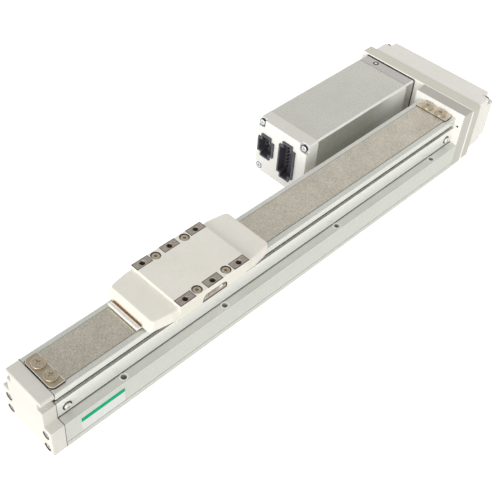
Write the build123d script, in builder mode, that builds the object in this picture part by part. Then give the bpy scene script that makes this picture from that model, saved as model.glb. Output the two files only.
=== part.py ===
from build123d import *
import os
from math import pi

os.makedirs("parts", exist_ok=True)

# Electric slide actuator with a ball screw and a motor folded back beside the body.
# X runs along the travel towards the belt drive, Y points to the motor, Z points up.
# The origin is the centre of the body's mounting face. All sizes are in millimetres.

# Body profile
body_length = 435.0
body_width = 54.0
ledge_height = 25.3
wall_width = 39.0
wall_thickness = 4.8
wall_rise = 15.7
wall_edge_radius = 0.8
wall_seam_inset = 1.3
floor_thickness = 9.0
foot_height = 4.4
foot_groove = 0.6
centre_strip_width = 10.0
relief_width = 9.0
relief_depth = 0.6
seam_groove = 0.5

# Mounting holes in the ledges
mount_hole_diameter = 4.6
mount_hole_inset = 4.0
first_hole_setback = 53.1
end_hole_pitch = 96.5
hole_pitch = 126.3
last_hole_margin = 25.0

# Guide rails let into the channel walls
rail_thickness = 3.0
rail_height = 12.0
rail_bottom_gap = 4.0
ball_groove_radius = 1.8

# Top cover and sealing band
slot_height = 4.4
top_cover_height = 5.6
top_cover_skin = 2.5
top_cover_lip = 3.0
top_cover_radius = 1.2
band_width = 29.0
band_thickness = 0.3
band_groove = 0.6
band_groove_depth = 1.0
clamp_length = 11.4
clamp_width = 31.6
clamp_thickness = 1.0
clamp_corner_radius = 4.0
clamp_small_radius = 1.0
clamp_end_gap = 0.3
clamp_screw_inset = 6.4
clamp_screw_spacing = 13.4
clamp_screw_head = 10.4
clamp_screw_head_height = 1.6

# Front end cover
end_cover_thickness = 11.5
end_cover_proud = 0.3
end_ledge_drop = 0.3
end_lip_height = 3.6
end_undercut = 4.8
end_edge_radius = 1.5
end_screw_low = 4.3
end_screw_high = 18.0
end_screw_room = 2.0
edge_break = 0.5

# Ball screw and its bearings
drive_height = 28.3
screw_diameter = 12.0
screw_collar_diameter = 14.0
screw_collar_length = 3.0
nut_diameter = 22.0
nut_length = 40.0
front_bearing_bore = 8.0
front_bearing_outer = 19.0
front_bearing_width = 6.0
rear_bearing_bore = 10.0
rear_bearing_outer = 22.0
pulley_shaft_diameter = 8.0
lock_nut_diameter = 18.0
lock_nut_length = 6.0
lock_nut_slot_depth = 2.2
lock_nut_slot_width = 3.6
shaft_relief = 1.0
shield_depth = 0.4
nut_edge = 0.8

# Travel stops
stop_length = 14.0
stop_fit = 0.1
stop_bore_clearance = 2.5
bumper_length = 5.0
bumper_wall = 3.0
side_screw_setback = 8.3
side_screw_drop = 9.4
side_screw_head_height = 1.8

# Carriage
carriage_setback = 135.5
block_length = 88.0
return_cap_length = 10.0
block_side_gap = 0.4
block_floor_gap = 1.0
slot_gap = 0.4
cap_screw_inset = 2.9
saddle_length = 66.0
saddle_screw_offset = 26.4
leg_gap = 0.6
leg_foot_thickness = 1.5
leg_thickness = 4.5
leg_flare_height = 6.0
table_gap = 2.0
table_plate_thickness = 6.1
table_plate_length = 66.6
pad_length = 14.0
pad_width = 6.5
pad_pitch = 25.9
pad_row_spacing = 45.2
pad_rise = 3.7
table_hole_diameter = 4.2
table_hole_chamfer = 0.4
table_hole_depth = 8.0
table_screw_pitch = 28.0
table_screw_row_spacing = 43.4
table_screw_head = 6.8
table_screw_room = 0.6
rib_pitch = 1.7
rib_groove = 0.7
rib_depth = 0.5
rib_count = 7
rib_row_setback = 3.2

# Moulded table cover
table_cover_length = 117.4
table_cover_width = 52.6
table_cover_end_width = 46.0
end_taper_length = 18.7
end_draft = 3.2
side_draft = 1.6
end_side_draft = 0.7
cover_corner_radius = 3.0
plateau_length = 67.2
skirt_gap = 1.1
end_drop = 2.5
cover_wall = 1.5
cover_edge_radius = 0.5
end_edge_rounding = 1.0
arch_length = 23.4
arch_height = 5.4
arch_radius = 4.2
arch_gap = 0.6
cover_fit = 0.2

# Band scrapers on the ends of the table cover
scraper_width = 31.0
scraper_reach = 4.9
scraper_root = 3.0
scraper_bar_length = 3.3
scraper_bar_height = 2.3
scraper_groove = 0.7
scraper_groove_depth = 0.4
scraper_floor = 0.8
scraper_side = 0.5
scraper_lip_gap = 0.1
scraper_lip_drop = 0.5
scraper_lip_fit = 0.2

# Bearing bracket, drive plate and pulley cover
bracket_thickness = 12.3
bracket_height = 56.3
bracket_foot_gap = 1.0
bracket_motor_side = 25.5
bracket_radius = 1.0
plate_screw_offset = 14.0
plate_screw_low = 9.1
plate_screw_drop = 7.0
drive_plate_thickness = 12.2
drive_plate_margin = 5.8
drive_plate_radius = 1.5
pulley_cover_depth = 24.0
pulley_cover_wall = 2.5
pulley_cover_side_inset = 1.3
pulley_cover_top_inset = 0.5
pulley_cover_bottom_inset = 6.5
pulley_cover_pocket = 7.0
pulley_cover_pocket_depth = 9.5
pocket_radius = 2.5
pulley_cover_radius = 2.0

# Belt drive
pulley_teeth = 30
belt_pitch = 3.0
tooth_groove_radius = 0.85
belt_line_drop = 0.38
pulley_width = 11.0
pulley_flange_thickness = 1.2
pulley_flange_height = 2.0
pulley_gap = 2.0
pulley_edge = 0.5
belt_width = 10.0
belt_thickness = 1.4
belt_tooth_height = 1.0
belt_gap = 0.3

# Motor
motor_size = 56.0
motor_offset = 64.0
motor_corner_radius = 2.2
motor_flange_length = 12.7
flange_step = 0.9
flange_step_inset = 2.0
motor_stack_length = 120.0
motor_cap_length = 13.6
motor_pilot_diameter = 38.0
motor_pilot_height = 1.6
motor_pilot_fit = 0.1
motor_screw_spacing = 38.0
motor_shaft_diameter = 8.0
motor_shaft_reach = 27.0
motor_bearing_outer = 22.0
motor_bearing_width = 7.0
rotor_diameter = 30.0
rotor_gap = 0.5
rotor_end_gap = 6.0
flange_side_hole_diameter = 3.4
flange_side_hole_offset = 12.6
flange_side_hole_depth = 4.0
cap_wall = 2.2
cap_pocket = 8.0
cap_pocket_depth = 3.4

# Connectors and encoder inside the motor's end cap
connector_proud = 1.5
connector_depth = 9.5
connector_wall = 1.6
connector_back = 1.0
connector_fit = 0.1
connector_width = 18.0
connector_tab_width = 11.0
connector_tab_height = 4.4
small_connector_height = 15.2
small_connector_offset = 16.8
small_connector_rise = 1.8
large_connector_height = 30.0
large_connector_offset = -7.4
pin_pitch = 4.0
pin_width = 0.8
pin_length = 3.5
board_size = 48.0
board_thickness = 1.2
board_corner = 8.0
encoder_disc_diameter = 24.0
encoder_disc_thickness = 1.5

# Screws: thread diameter, head diameter and head height
m3 = 3.0
m3_head = 5.5
m3_head_height = 3.0
m4 = 4.0
m4_head = 7.0
m4_head_height = 4.0
m2 = 2.0
m2_head = 3.8
m2_head_height = 1.2
thread_gap = 0.05
hole_gap = 0.2
head_gap = 0.3
seat_margin = 0.5
thread_reach = 10.0
screw_reach = 8.0
middle_thread = 7.0
middle_screw = 6.0
short_thread = 5.0
short_screw = 4.0
running_fit = 0.05
hex_ratio = 0.46
recess_ratio = 0.25
socket_depth_ratio = 0.5
head_edge_ratio = 0.1
dome_ratio = 0.45

# Heights and places that follow from the sizes above
wall_top = ledge_height + wall_rise
cover_bottom = wall_top + slot_height
cover_top = cover_bottom + top_cover_height
band_top = cover_top + band_thickness
channel_width = wall_width - 2 * wall_thickness
rail_bottom = floor_thickness + rail_bottom_gap
rail_axis = rail_bottom + rail_height / 2
body_front = -body_length / 2
body_rear = body_length / 2
end_cover_face = body_front - end_cover_thickness
plate_front = body_rear + bracket_thickness
plate_rear = plate_front + drive_plate_thickness
motor_side = motor_offset + motor_size / 2
carriage_x = body_front + carriage_setback
saddle_bottom = wall_top + slot_gap
saddle_top = cover_bottom - slot_gap
leg_inner = wall_width / 2 + leg_gap
leg_outer = leg_inner + leg_thickness
table_underside = band_top + table_gap
plate_top = table_underside + table_plate_thickness
pad_top = plate_top + pad_rise
skirt_bottom = band_top + skirt_gap
table_cover_shoulder = pad_top - end_drop
table_cover_straight = table_cover_length - 2 * end_taper_length
table_cover_top_length = table_cover_length - 2 * end_draft
table_cover_top_width = table_cover_width - 2 * side_draft
table_cover_top_end_width = table_cover_end_width - 2 * end_side_draft
arch_top = skirt_bottom + arch_height
bracket_top = bracket_foot_gap + bracket_height
stack_rear = plate_front - motor_flange_length
stack_front = stack_rear - motor_stack_length
cap_face = stack_front - motor_cap_length
pulley_radius = pulley_teeth * belt_pitch / (2 * pi) - belt_line_drop
pulley_front = plate_rear + pulley_gap
pulley_length = pulley_width + 2 * pulley_flange_thickness
middle = (Align.CENTER, Align.CENTER, Align.CENTER)
upward = (Align.CENTER, Align.CENTER, Align.MIN)
downward = (Align.CENTER, Align.CENTER, Align.MAX)


def facing(x, y, z, direction):
    """Plane at a point, looking along the given direction."""
    return Plane(origin=(x, y, z), z_dir=direction)


def across_x(x, y, z):
    """Plane at a point, square to X and with its own X along Y."""
    return Plane(origin=(x, y, z), x_dir=(0, 1, 0), z_dir=(1, 0, 0))


def at_carriage(height):
    """Level plane over the carriage's centre."""
    return Plane(origin=(carriage_x, 0, height))


def socket_screw(diameter, head, head_height, length):
    """Socket-head screw with its head's seat on XY and its shank along -Z."""
    with BuildPart() as screw:
        Cylinder(head / 2, head_height, align=upward)
        chamfer(screw.faces().sort_by(Axis.Z)[-1].edges(), head_height * head_edge_ratio)
        Cylinder(diameter / 2, length, align=downward)
        with BuildSketch(Plane.XY.offset(head_height)):
            RegularPolygon(diameter * hex_ratio, 6)
        extrude(amount=-head_height * socket_depth_ratio, mode=Mode.SUBTRACT)
    return screw.part


def cross_screw(diameter, head, head_height, length):
    """Cross-recessed screw with a low domed head, seat on XY and shank along -Z."""
    with BuildPart() as screw:
        Cylinder(head / 2, head_height, align=upward)
        fillet(screw.faces().sort_by(Axis.Z)[-1].edges(), head_height * dome_ratio)
        Cylinder(diameter / 2, length, align=downward)
        with BuildSketch(Plane.XY.offset(head_height)):
            Rectangle(diameter, diameter * recess_ratio)
            Rectangle(diameter * recess_ratio, diameter)
        extrude(amount=-head_height * socket_depth_ratio, mode=Mode.SUBTRACT)
    return screw.part


def fastened(screw, places):
    """The same screw on every seat plane, as one group of separate solids."""
    with BuildPart() as group:
        with Locations(*places):
            add(screw)
    return group


def bearing(bore, outer, width):
    """Shielded ball bearing along Z from XY, with its shields let in."""
    ring = (outer - bore) / 8
    with BuildPart() as body:
        Cylinder(outer / 2, width, align=upward)
        Cylinder(bore / 2 + running_fit, width, align=upward, mode=Mode.SUBTRACT)
        for face in (Plane.XY, Plane.XY.offset(width - shield_depth)):
            with BuildSketch(face):
                Circle(outer / 2 - ring)
                Circle(bore / 2 + ring, mode=Mode.SUBTRACT)
            extrude(amount=shield_depth, mode=Mode.SUBTRACT)
    return body.part


def toothed_pulley(bore):
    """Flanged timing pulley along Z from XY, with a groove for each belt tooth."""
    flange_radius = pulley_radius + pulley_flange_height
    with BuildPart() as pulley:
        with BuildSketch():
            Circle(pulley_radius)
            with PolarLocations(pulley_radius, pulley_teeth):
                Circle(tooth_groove_radius, mode=Mode.SUBTRACT)
        extrude(amount=pulley_length)
        for face in (Plane.XY, Plane.XY.offset(pulley_length - pulley_flange_thickness)):
            with BuildSketch(face):
                Circle(flange_radius)
            extrude(amount=pulley_flange_thickness)
        chamfer(pulley.edges().filter_by(GeomType.CIRCLE).sort_by(SortBy.RADIUS)[-4:], pulley_edge)
        with Locations((0, 0, pulley_length)):
            Hole(bore / 2)
    return pulley.part


def pocketed_cover(width, height, depth, wall, pocket, pocket_depth, corner, edge):
    """Moulded cover open at XY, its outer face up, with a screw pocket cut in each corner."""
    boss = pocket
    with BuildPart() as cover:
        with BuildSketch():
            RectangleRounded(width, height, corner)
        extrude(amount=depth)
        fillet(cover.faces().sort_by(Axis.Z)[-1].edges(), edge)
        with BuildSketch():
            Rectangle(width - 2 * wall, height - 2 * wall)
            with GridLocations(width - 2 * wall - boss, height - 2 * wall - boss, 2, 2):
                Rectangle(boss, boss, mode=Mode.SUBTRACT)
        extrude(amount=depth - wall, mode=Mode.SUBTRACT)
        with BuildSketch(Plane.XY.offset(depth)):
            with GridLocations(width, height, 2, 2):
                RectangleRounded(2 * pocket, 2 * pocket, pocket_radius)
        extrude(amount=-pocket_depth, mode=Mode.SUBTRACT)
        with GridLocations(width - pocket, height - pocket, 2, 2):
            Hole(m3 / 2 + hole_gap)
    return cover.part


# Body extrusion: a U-shaped channel on a wide foot, with a ledge down each side
end_screw_rows = (end_screw_low, end_screw_high)
end_screw_column = (body_width + channel_width) / 4
second_hole_setback = first_hole_setback + end_hole_pitch
long_pitches = int((body_length - second_hole_setback - last_hole_margin) // hole_pitch)
ledge_holes_x = [body_front + first_hole_setback]
for index in range(long_pitches + 1):
    ledge_holes_x.append(body_front + second_hole_setback + index * hole_pitch)
ledge_hole_y = body_width / 2 - mount_hole_inset
side_screw_z = wall_top - side_screw_drop
side_screw_places = [
    facing(x, side * wall_width / 2, side_screw_z, (0, side, 0))
    for x in (body_front + side_screw_setback, body_rear - side_screw_setback)
    for side in (-1, 1)
]


def end_screw_places(x, outward):
    """Seat planes of the four end screws on a face square to X."""
    corners = [(side, z) for side in (-1, 1) for z in end_screw_rows]
    return [facing(x, side * end_screw_column, z, (outward, 0, 0)) for side, z in corners]


with BuildPart() as body_extrusion:
    with BuildSketch(Plane.YZ.offset(body_front)) as section:
        with BuildLine():
            Polyline(
                (0, 0),
                (centre_strip_width / 2, 0),
                (centre_strip_width / 2, relief_depth),
                (centre_strip_width / 2 + relief_width, relief_depth),
                (centre_strip_width / 2 + relief_width, 0),
                (body_width / 2, 0),
                (body_width / 2, foot_height),
                (body_width / 2 - foot_groove, foot_height),
                (body_width / 2 - foot_groove, foot_height + foot_groove),
                (body_width / 2, foot_height + foot_groove),
                (body_width / 2, ledge_height),
                (wall_width / 2 + seam_groove, ledge_height),
                (wall_width / 2 + seam_groove, ledge_height - seam_groove),
                (wall_width / 2, ledge_height - seam_groove),
                (wall_width / 2, wall_top),
                (wall_width / 2 - wall_seam_inset, wall_top),
                (wall_width / 2 - wall_seam_inset, wall_top - seam_groove),
                (wall_width / 2 - wall_seam_inset - seam_groove, wall_top - seam_groove),
                (wall_width / 2 - wall_seam_inset - seam_groove, wall_top),
                (channel_width / 2, wall_top),
                (channel_width / 2, rail_bottom + rail_height),
                (channel_width / 2 + rail_thickness, rail_bottom + rail_height),
                (channel_width / 2 + rail_thickness, rail_bottom),
                (channel_width / 2, rail_bottom),
                (channel_width / 2, floor_thickness),
                (0, floor_thickness),
            )
            mirror(about=Plane.YZ)
        make_face()
        fillet(section.vertices().group_by(Axis.Y)[-1].sort_by(Axis.X)[0], wall_edge_radius)
        fillet(section.vertices().group_by(Axis.Y)[-1].sort_by(Axis.X)[-1], wall_edge_radius)
    extrude(amount=body_length)
    with Locations(*[(x, side * ledge_hole_y, ledge_height) for x in ledge_holes_x for side in (-1, 1)]):
        Hole(mount_hole_diameter / 2)
    with Locations(*end_screw_places(body_front, -1), *end_screw_places(body_rear, 1)):
        Hole(m3 / 2 + thread_gap, depth=thread_reach + end_screw_room)
    with Locations(*side_screw_places):
        Hole(m3 / 2 + hole_gap, depth=wall_thickness)
body_extrusion.part.label = "body_extrusion"
export_step(body_extrusion.part, "parts/body_extrusion.step")

# Hardened guide rails with a ball groove along their inner faces
for side, name in ((1, "guide_rail_motor_side"), (-1, "guide_rail_open_side")):
    with BuildPart() as guide_rail:
        with BuildSketch(Plane.YZ.offset(body_front)):
            with Locations((side * (channel_width + rail_thickness) / 2, rail_axis)):
                Rectangle(rail_thickness, rail_height)
            with Locations((side * channel_width / 2, rail_axis)):
                Circle(ball_groove_radius, mode=Mode.SUBTRACT)
        extrude(amount=body_length)
    guide_rail.part.label = name
    export_step(guide_rail.part, f"parts/{name}.step")

# Front end cover: stepped like the body, with an undercut below its top lip
front_screw_seat = m3_head_height + seat_margin
front_screw_places = end_screw_places(end_cover_face, -1)
with BuildPart() as end_cover:
    with BuildSketch(Plane.YZ.offset(end_cover_face)) as section:
        with BuildLine():
            Polyline(
                (0, 0),
                (body_width / 2, 0),
                (body_width / 2, ledge_height + end_cover_proud),
                (wall_width / 2 + end_cover_proud, ledge_height + end_cover_proud),
                (wall_width / 2 + end_cover_proud, wall_top - end_ledge_drop),
                (wall_width / 2 - end_undercut, wall_top - end_ledge_drop),
                (wall_width / 2 - end_undercut, cover_top - end_lip_height),
                (wall_width / 2, cover_top - end_lip_height),
                (wall_width / 2, cover_top),
                (0, cover_top),
            )
            mirror(about=Plane.YZ)
        make_face()
        fillet(section.vertices().group_by(Axis.Y)[-1], end_edge_radius)
    extrude(amount=end_cover_thickness)
    chamfer(end_cover.faces().sort_by(Axis.X)[0].edges(), edge_break)
    chamfer(end_cover.faces().sort_by(Axis.X)[-1].edges(), edge_break)
    with Locations(*front_screw_places):
        CounterBoreHole(m3 / 2 + hole_gap, m3_head / 2 + head_gap, front_screw_seat)
    with Locations(facing(body_front, 0, drive_height, (1, 0, 0))):
        CounterBoreHole(front_bearing_bore / 2 + shaft_relief, front_bearing_outer / 2 + running_fit,
                        front_bearing_width, depth=front_bearing_width + 2 * shaft_relief)
end_cover.part.label = "end_cover"
export_step(end_cover.part, "parts/end_cover.step")

front_screw_length = end_cover_thickness - front_screw_seat + thread_reach
end_cover_screws = fastened(
    socket_screw(m3, m3_head, m3_head_height, front_screw_length),
    [place.offset(-front_screw_seat) for place in front_screw_places],
)
end_cover_screws.part.label = "end_cover_screws"
export_step(end_cover_screws.part, "parts/end_cover_screws.step")

# Travel stops fixed between the channel walls, with a soft bumper on each
stop_top = cover_top - top_cover_skin
stop_width = channel_width - 2 * stop_fit
stop_bore = screw_diameter + 2 * stop_bore_clearance
clamp_screw_x = clamp_end_gap + clamp_screw_inset
for end, inward, name in ((body_front, 1, "front"), (body_rear, -1, "rear")):
    stop_x = end + inward * stop_length / 2
    bumper_x = end + inward * stop_length
    with BuildPart() as travel_stop:
        with Locations((stop_x, 0, floor_thickness)):
            Box(stop_length, stop_width, stop_top - floor_thickness, align=upward)
        with Locations(facing(stop_x, 0, drive_height, (1, 0, 0))):
            Cylinder(stop_bore / 2, stop_length, mode=Mode.SUBTRACT)
        for side in (-1, 1):
            with Locations((end + inward * clamp_screw_x, side * clamp_screw_spacing / 2, stop_top)):
                Hole(m4 / 2 + thread_gap, depth=thread_reach)
            with Locations(facing(end + inward * side_screw_setback, side * stop_width / 2, side_screw_z,
                                  (0, side, 0))):
                Hole(m3 / 2 + thread_gap, depth=short_thread)
    travel_stop.part.label = f"travel_stop_{name}"
    export_step(travel_stop.part, f"parts/travel_stop_{name}.step")

    with BuildPart() as bumper:
        with BuildSketch(Plane.YZ.offset(bumper_x)):
            with Locations((0, drive_height)):
                Circle(stop_bore / 2 + bumper_wall)
                Circle(stop_bore / 2, mode=Mode.SUBTRACT)
        extrude(amount=inward * bumper_length)
    bumper.part.label = f"bumper_{name}"
    export_step(bumper.part, f"parts/bumper_{name}.step")

side_screws = fastened(
    cross_screw(m3, m3_head, side_screw_head_height, wall_thickness + short_screw),
    side_screw_places,
)
side_screws.part.label = "side_screws"
export_step(side_screws.part, "parts/side_screws.step")

# Top cover: an inverted tray whose lips leave a slot above each wall, grooved beside the band
clamp_screw_places = [
    (end + inward * clamp_screw_x, side * clamp_screw_spacing / 2)
    for end, inward in ((body_front, 1), (body_rear, -1))
    for side in (-1, 1)
]
with BuildPart() as top_cover:
    with BuildSketch(Plane.YZ.offset(body_front)) as section:
        with Locations((0, cover_bottom)):
            Rectangle(wall_width, top_cover_height, align=(Align.CENTER, Align.MIN))
        fillet(section.vertices().group_by(Axis.Y)[-1], top_cover_radius)
        with Locations((0, cover_bottom)):
            Rectangle(wall_width - 2 * top_cover_lip, top_cover_height - top_cover_skin,
                      align=(Align.CENTER, Align.MIN), mode=Mode.SUBTRACT)
    extrude(amount=body_length)
    with BuildSketch(Plane.XY.offset(cover_top)):
        with GridLocations(0, band_width + band_groove, 1, 2):
            Rectangle(body_length, band_groove)
    extrude(amount=-band_groove_depth, mode=Mode.SUBTRACT)
    with Locations(*[(x, y, cover_top) for x, y in clamp_screw_places]):
        Hole(m4 / 2 + hole_gap)
top_cover.part.label = "top_cover"
export_step(top_cover.part, "parts/top_cover.step")

with BuildPart() as seal_band:
    with BuildSketch(Plane.XY.offset(cover_top)):
        Rectangle(body_length - 2 * clamp_end_gap, band_width)
        with Locations(*clamp_screw_places):
            Circle(m4 / 2 + hole_gap, mode=Mode.SUBTRACT)
    extrude(amount=band_thickness)
seal_band.part.label = "seal_band"
export_step(seal_band.part, "parts/seal_band.step")

# Clamp plates that hold down the ends of the band
for end, inward, name in ((body_front, 1, "front"), (body_rear, -1, "rear")):
    with BuildPart() as band_clamp:
        with BuildSketch(Plane.XY.offset(band_top)) as outline:
            with Locations((end + inward * (clamp_end_gap + clamp_length / 2), 0)):
                Rectangle(clamp_length, clamp_width)
            outer_corners, inner_corners = outline.vertices().group_by(Axis.X)[::inward]
            fillet(outer_corners, clamp_corner_radius)
            fillet(inner_corners, clamp_small_radius)
            with Locations((end + inward * clamp_screw_x, 0)):
                with GridLocations(0, clamp_screw_spacing, 1, 2):
                    Circle(m4 / 2 + hole_gap, mode=Mode.SUBTRACT)
        extrude(amount=clamp_thickness)
    band_clamp.part.label = f"band_clamp_{name}"
    export_step(band_clamp.part, f"parts/band_clamp_{name}.step")

band_clamp_screws = fastened(
    cross_screw(m4, clamp_screw_head, clamp_screw_head_height,
                clamp_thickness + band_thickness + top_cover_skin + screw_reach),
    [Plane(origin=(x, y, band_top + clamp_thickness)) for x, y in clamp_screw_places],
)
band_clamp_screws.part.label = "band_clamp_screws"
export_step(band_clamp_screws.part, "parts/band_clamp_screws.step")

# Guide block that runs between the rails, and the ball return caps on its ends
block_width = channel_width - 2 * block_side_gap
block_bottom = floor_thickness + block_floor_gap


def block_section(bore):
    """Cross-section shared by the guide block and its caps, on the current sketch plane."""
    with Locations((0, block_bottom)):
        Rectangle(block_width, saddle_bottom - block_bottom, align=(Align.CENTER, Align.MIN))
    with Locations((-channel_width / 2, rail_axis), (channel_width / 2, rail_axis)):
        Circle(ball_groove_radius, mode=Mode.SUBTRACT)
    with Locations((0, drive_height)):
        Circle(bore / 2, mode=Mode.SUBTRACT)


cap_screw_y = block_width / 2 - cap_screw_inset
cap_screw_z = saddle_bottom - m2_head
saddle_screw_places = [(end * saddle_screw_offset, side * cap_screw_y) for end in (-1, 1) for side in (-1, 1)]


def cap_screw_places(end, reach):
    """Seat planes of the two cap screws at one end, at a distance from the carriage's centre."""
    x = carriage_x + end * reach
    return [facing(x, side * cap_screw_y, cap_screw_z, (end, 0, 0)) for side in (-1, 1)]


with BuildPart() as guide_block:
    with BuildSketch(Plane.YZ.offset(carriage_x - block_length / 2)):
        block_section(nut_diameter + 2 * thread_gap)
    extrude(amount=block_length)
    with Locations(*cap_screw_places(-1, block_length / 2), *cap_screw_places(1, block_length / 2)):
        Hole(m2 / 2 + thread_gap, depth=short_thread)
    with Locations(at_carriage(saddle_bottom)):
        with Locations(*saddle_screw_places):
            Hole(m3 / 2 + thread_gap, depth=middle_screw)
guide_block.part.label = "guide_block"
export_step(guide_block.part, "parts/guide_block.step")

for end, name in ((-1, "front"), (1, "rear")):
    with BuildPart() as return_cap:
        with BuildSketch(Plane.YZ.offset(carriage_x + end * block_length / 2)):
            block_section(screw_diameter + 2 * stop_bore_clearance)
        extrude(amount=end * return_cap_length)
        with Locations(*cap_screw_places(end, block_length / 2 + return_cap_length)):
            CounterBoreHole(m2 / 2 + hole_gap, m2_head / 2 + head_gap, m2_head_height + head_gap)
    return_cap.part.label = f"return_cap_{name}"
    export_step(return_cap.part, f"parts/return_cap_{name}.step")

cap_screw_seat = return_cap_length - m2_head_height - head_gap
cap_screw_reach = block_length / 2 + cap_screw_seat
return_cap_screws = fastened(
    socket_screw(m2, m2_head, m2_head_height, cap_screw_seat + short_screw),
    cap_screw_places(-1, cap_screw_reach) + cap_screw_places(1, cap_screw_reach),
)
return_cap_screws.part.label = "return_cap_screws"
export_step(return_cap_screws.part, "parts/return_cap_screws.step")

with BuildPart() as ball_nut:
    with Locations(facing(carriage_x, 0, drive_height, (1, 0, 0))):
        Cylinder(nut_diameter / 2, nut_length)
        Cylinder(screw_diameter / 2 + running_fit, nut_length, mode=Mode.SUBTRACT)
    chamfer(ball_nut.edges().filter_by(GeomType.CIRCLE).sort_by(SortBy.RADIUS)[-2:], nut_edge)
ball_nut.part.label = "ball_nut"
export_step(ball_nut.part, "parts/ball_nut.step")

# Saddle: passes under the top cover and out through both side slots
table_screw_places = [
    (end * table_screw_pitch / 2, side * table_screw_row_spacing / 2) for end in (-1, 1) for side in (-1, 1)
]
with BuildPart() as saddle:
    with BuildSketch(Plane.YZ.offset(carriage_x - saddle_length / 2)):
        with BuildLine():
            Polyline(
                (0, saddle_bottom),
                (leg_inner + leg_foot_thickness, saddle_bottom),
                (leg_outer, saddle_bottom + leg_flare_height),
                (leg_outer, table_underside),
                (leg_inner, table_underside),
                (leg_inner, saddle_top),
                (0, saddle_top),
            )
            mirror(about=Plane.YZ)
        make_face()
    extrude(amount=saddle_length)
    with Locations(at_carriage(table_underside)):
        with Locations(*table_screw_places):
            Hole(m3 / 2 + thread_gap, depth=middle_thread)
    with Locations(at_carriage(saddle_top)):
        with Locations(*saddle_screw_places):
            CounterSinkHole(m3 / 2 + hole_gap, m3_head / 2 + hole_gap)
saddle.part.label = "saddle"
export_step(saddle.part, "parts/saddle.step")

with BuildPart() as flat_screw:
    Cylinder(m3 / 2, saddle_top - saddle_bottom + short_thread, align=downward)
    with BuildSketch():
        Circle(m3_head / 2)
    extrude(amount=-(m3_head - m3) / 2, taper=45)
    with BuildSketch():
        RegularPolygon(m3 * hex_ratio, 6)
    extrude(amount=-(m3_head - m3) / 2, mode=Mode.SUBTRACT)
saddle_screws = fastened(
    flat_screw.part,
    [Plane(origin=(carriage_x + x, y, saddle_top)) for x, y in saddle_screw_places],
)
saddle_screws.part.label = "saddle_screws"
export_step(saddle_screws.part, "parts/saddle_screws.step")

# Slide table: a plate on the saddle's legs with six raised and tapped pads
boss_face = table_cover_width / 2 - cover_edge_radius
pad_places = [(column * pad_pitch, side * pad_row_spacing / 2) for column in (-1, 0, 1) for side in (-1, 1)]
with BuildPart() as slide_table:
    with BuildSketch(at_carriage(table_underside)):
        Rectangle(table_plate_length, 2 * leg_outer)
    extrude(amount=table_plate_thickness)
    with BuildSketch(Plane.XZ) as boss:
        with Locations((carriage_x, table_underside)):
            Rectangle(arch_length - 2 * arch_gap, arch_top - arch_gap - table_underside,
                      align=(Align.CENTER, Align.MIN))
        fillet(boss.vertices().group_by(Axis.Y)[-1], min(arch_radius, arch_top - table_underside) - arch_gap)
    extrude(amount=boss_face, both=True)
    with Locations(at_carriage(table_underside)):
        with Locations((-rib_row_setback, 0)):
            with GridLocations(rib_pitch, 2 * boss_face, rib_count, 2):
                Box(rib_groove, 2 * rib_depth, arch_top - table_underside, align=upward, mode=Mode.SUBTRACT)
    with BuildSketch(at_carriage(plate_top)):
        with Locations(*pad_places):
            Rectangle(pad_length, pad_width)
    extrude(amount=pad_rise)
    with Locations(at_carriage(pad_top)):
        with Locations(*pad_places):
            CounterSinkHole(table_hole_diameter / 2, table_hole_diameter / 2 + table_hole_chamfer,
                            depth=table_hole_depth)
    with Locations(at_carriage(plate_top)):
        with Locations(*table_screw_places):
            Hole(m3 / 2 + hole_gap, depth=table_plate_thickness)
slide_table.part.label = "slide_table"
export_step(slide_table.part, "parts/slide_table.step")

table_screws = fastened(
    socket_screw(m3, table_screw_head, m3_head_height, table_plate_thickness + middle_screw),
    [Plane(origin=(carriage_x + x, y, plate_top)) for x, y in table_screw_places],
)
table_screws.part.label = "table_screws"
export_step(table_screws.part, "parts/table_screws.step")


def tapered_outline(length, width, end_width, straight):
    """Outline that keeps its width along the middle and narrows towards both ends."""
    corner = [(straight / 2, width / 2), (length / 2, end_width / 2)]
    right = corner + [(x, -y) for x, y in reversed(corner)]
    left = [(-x, -y) for x, y in right]
    Polygon(*right, *left, align=None)


def at_end_corner(edge):
    """Whether an edge rises at one of the outline's four end corners."""
    beyond_straight = abs(edge.center().X - carriage_x) > (table_cover_straight + end_taper_length) / 2
    return beyond_straight and abs(edge.tangent_at(0.5).Z) > abs(edge.tangent_at(0.5).Y)


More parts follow.
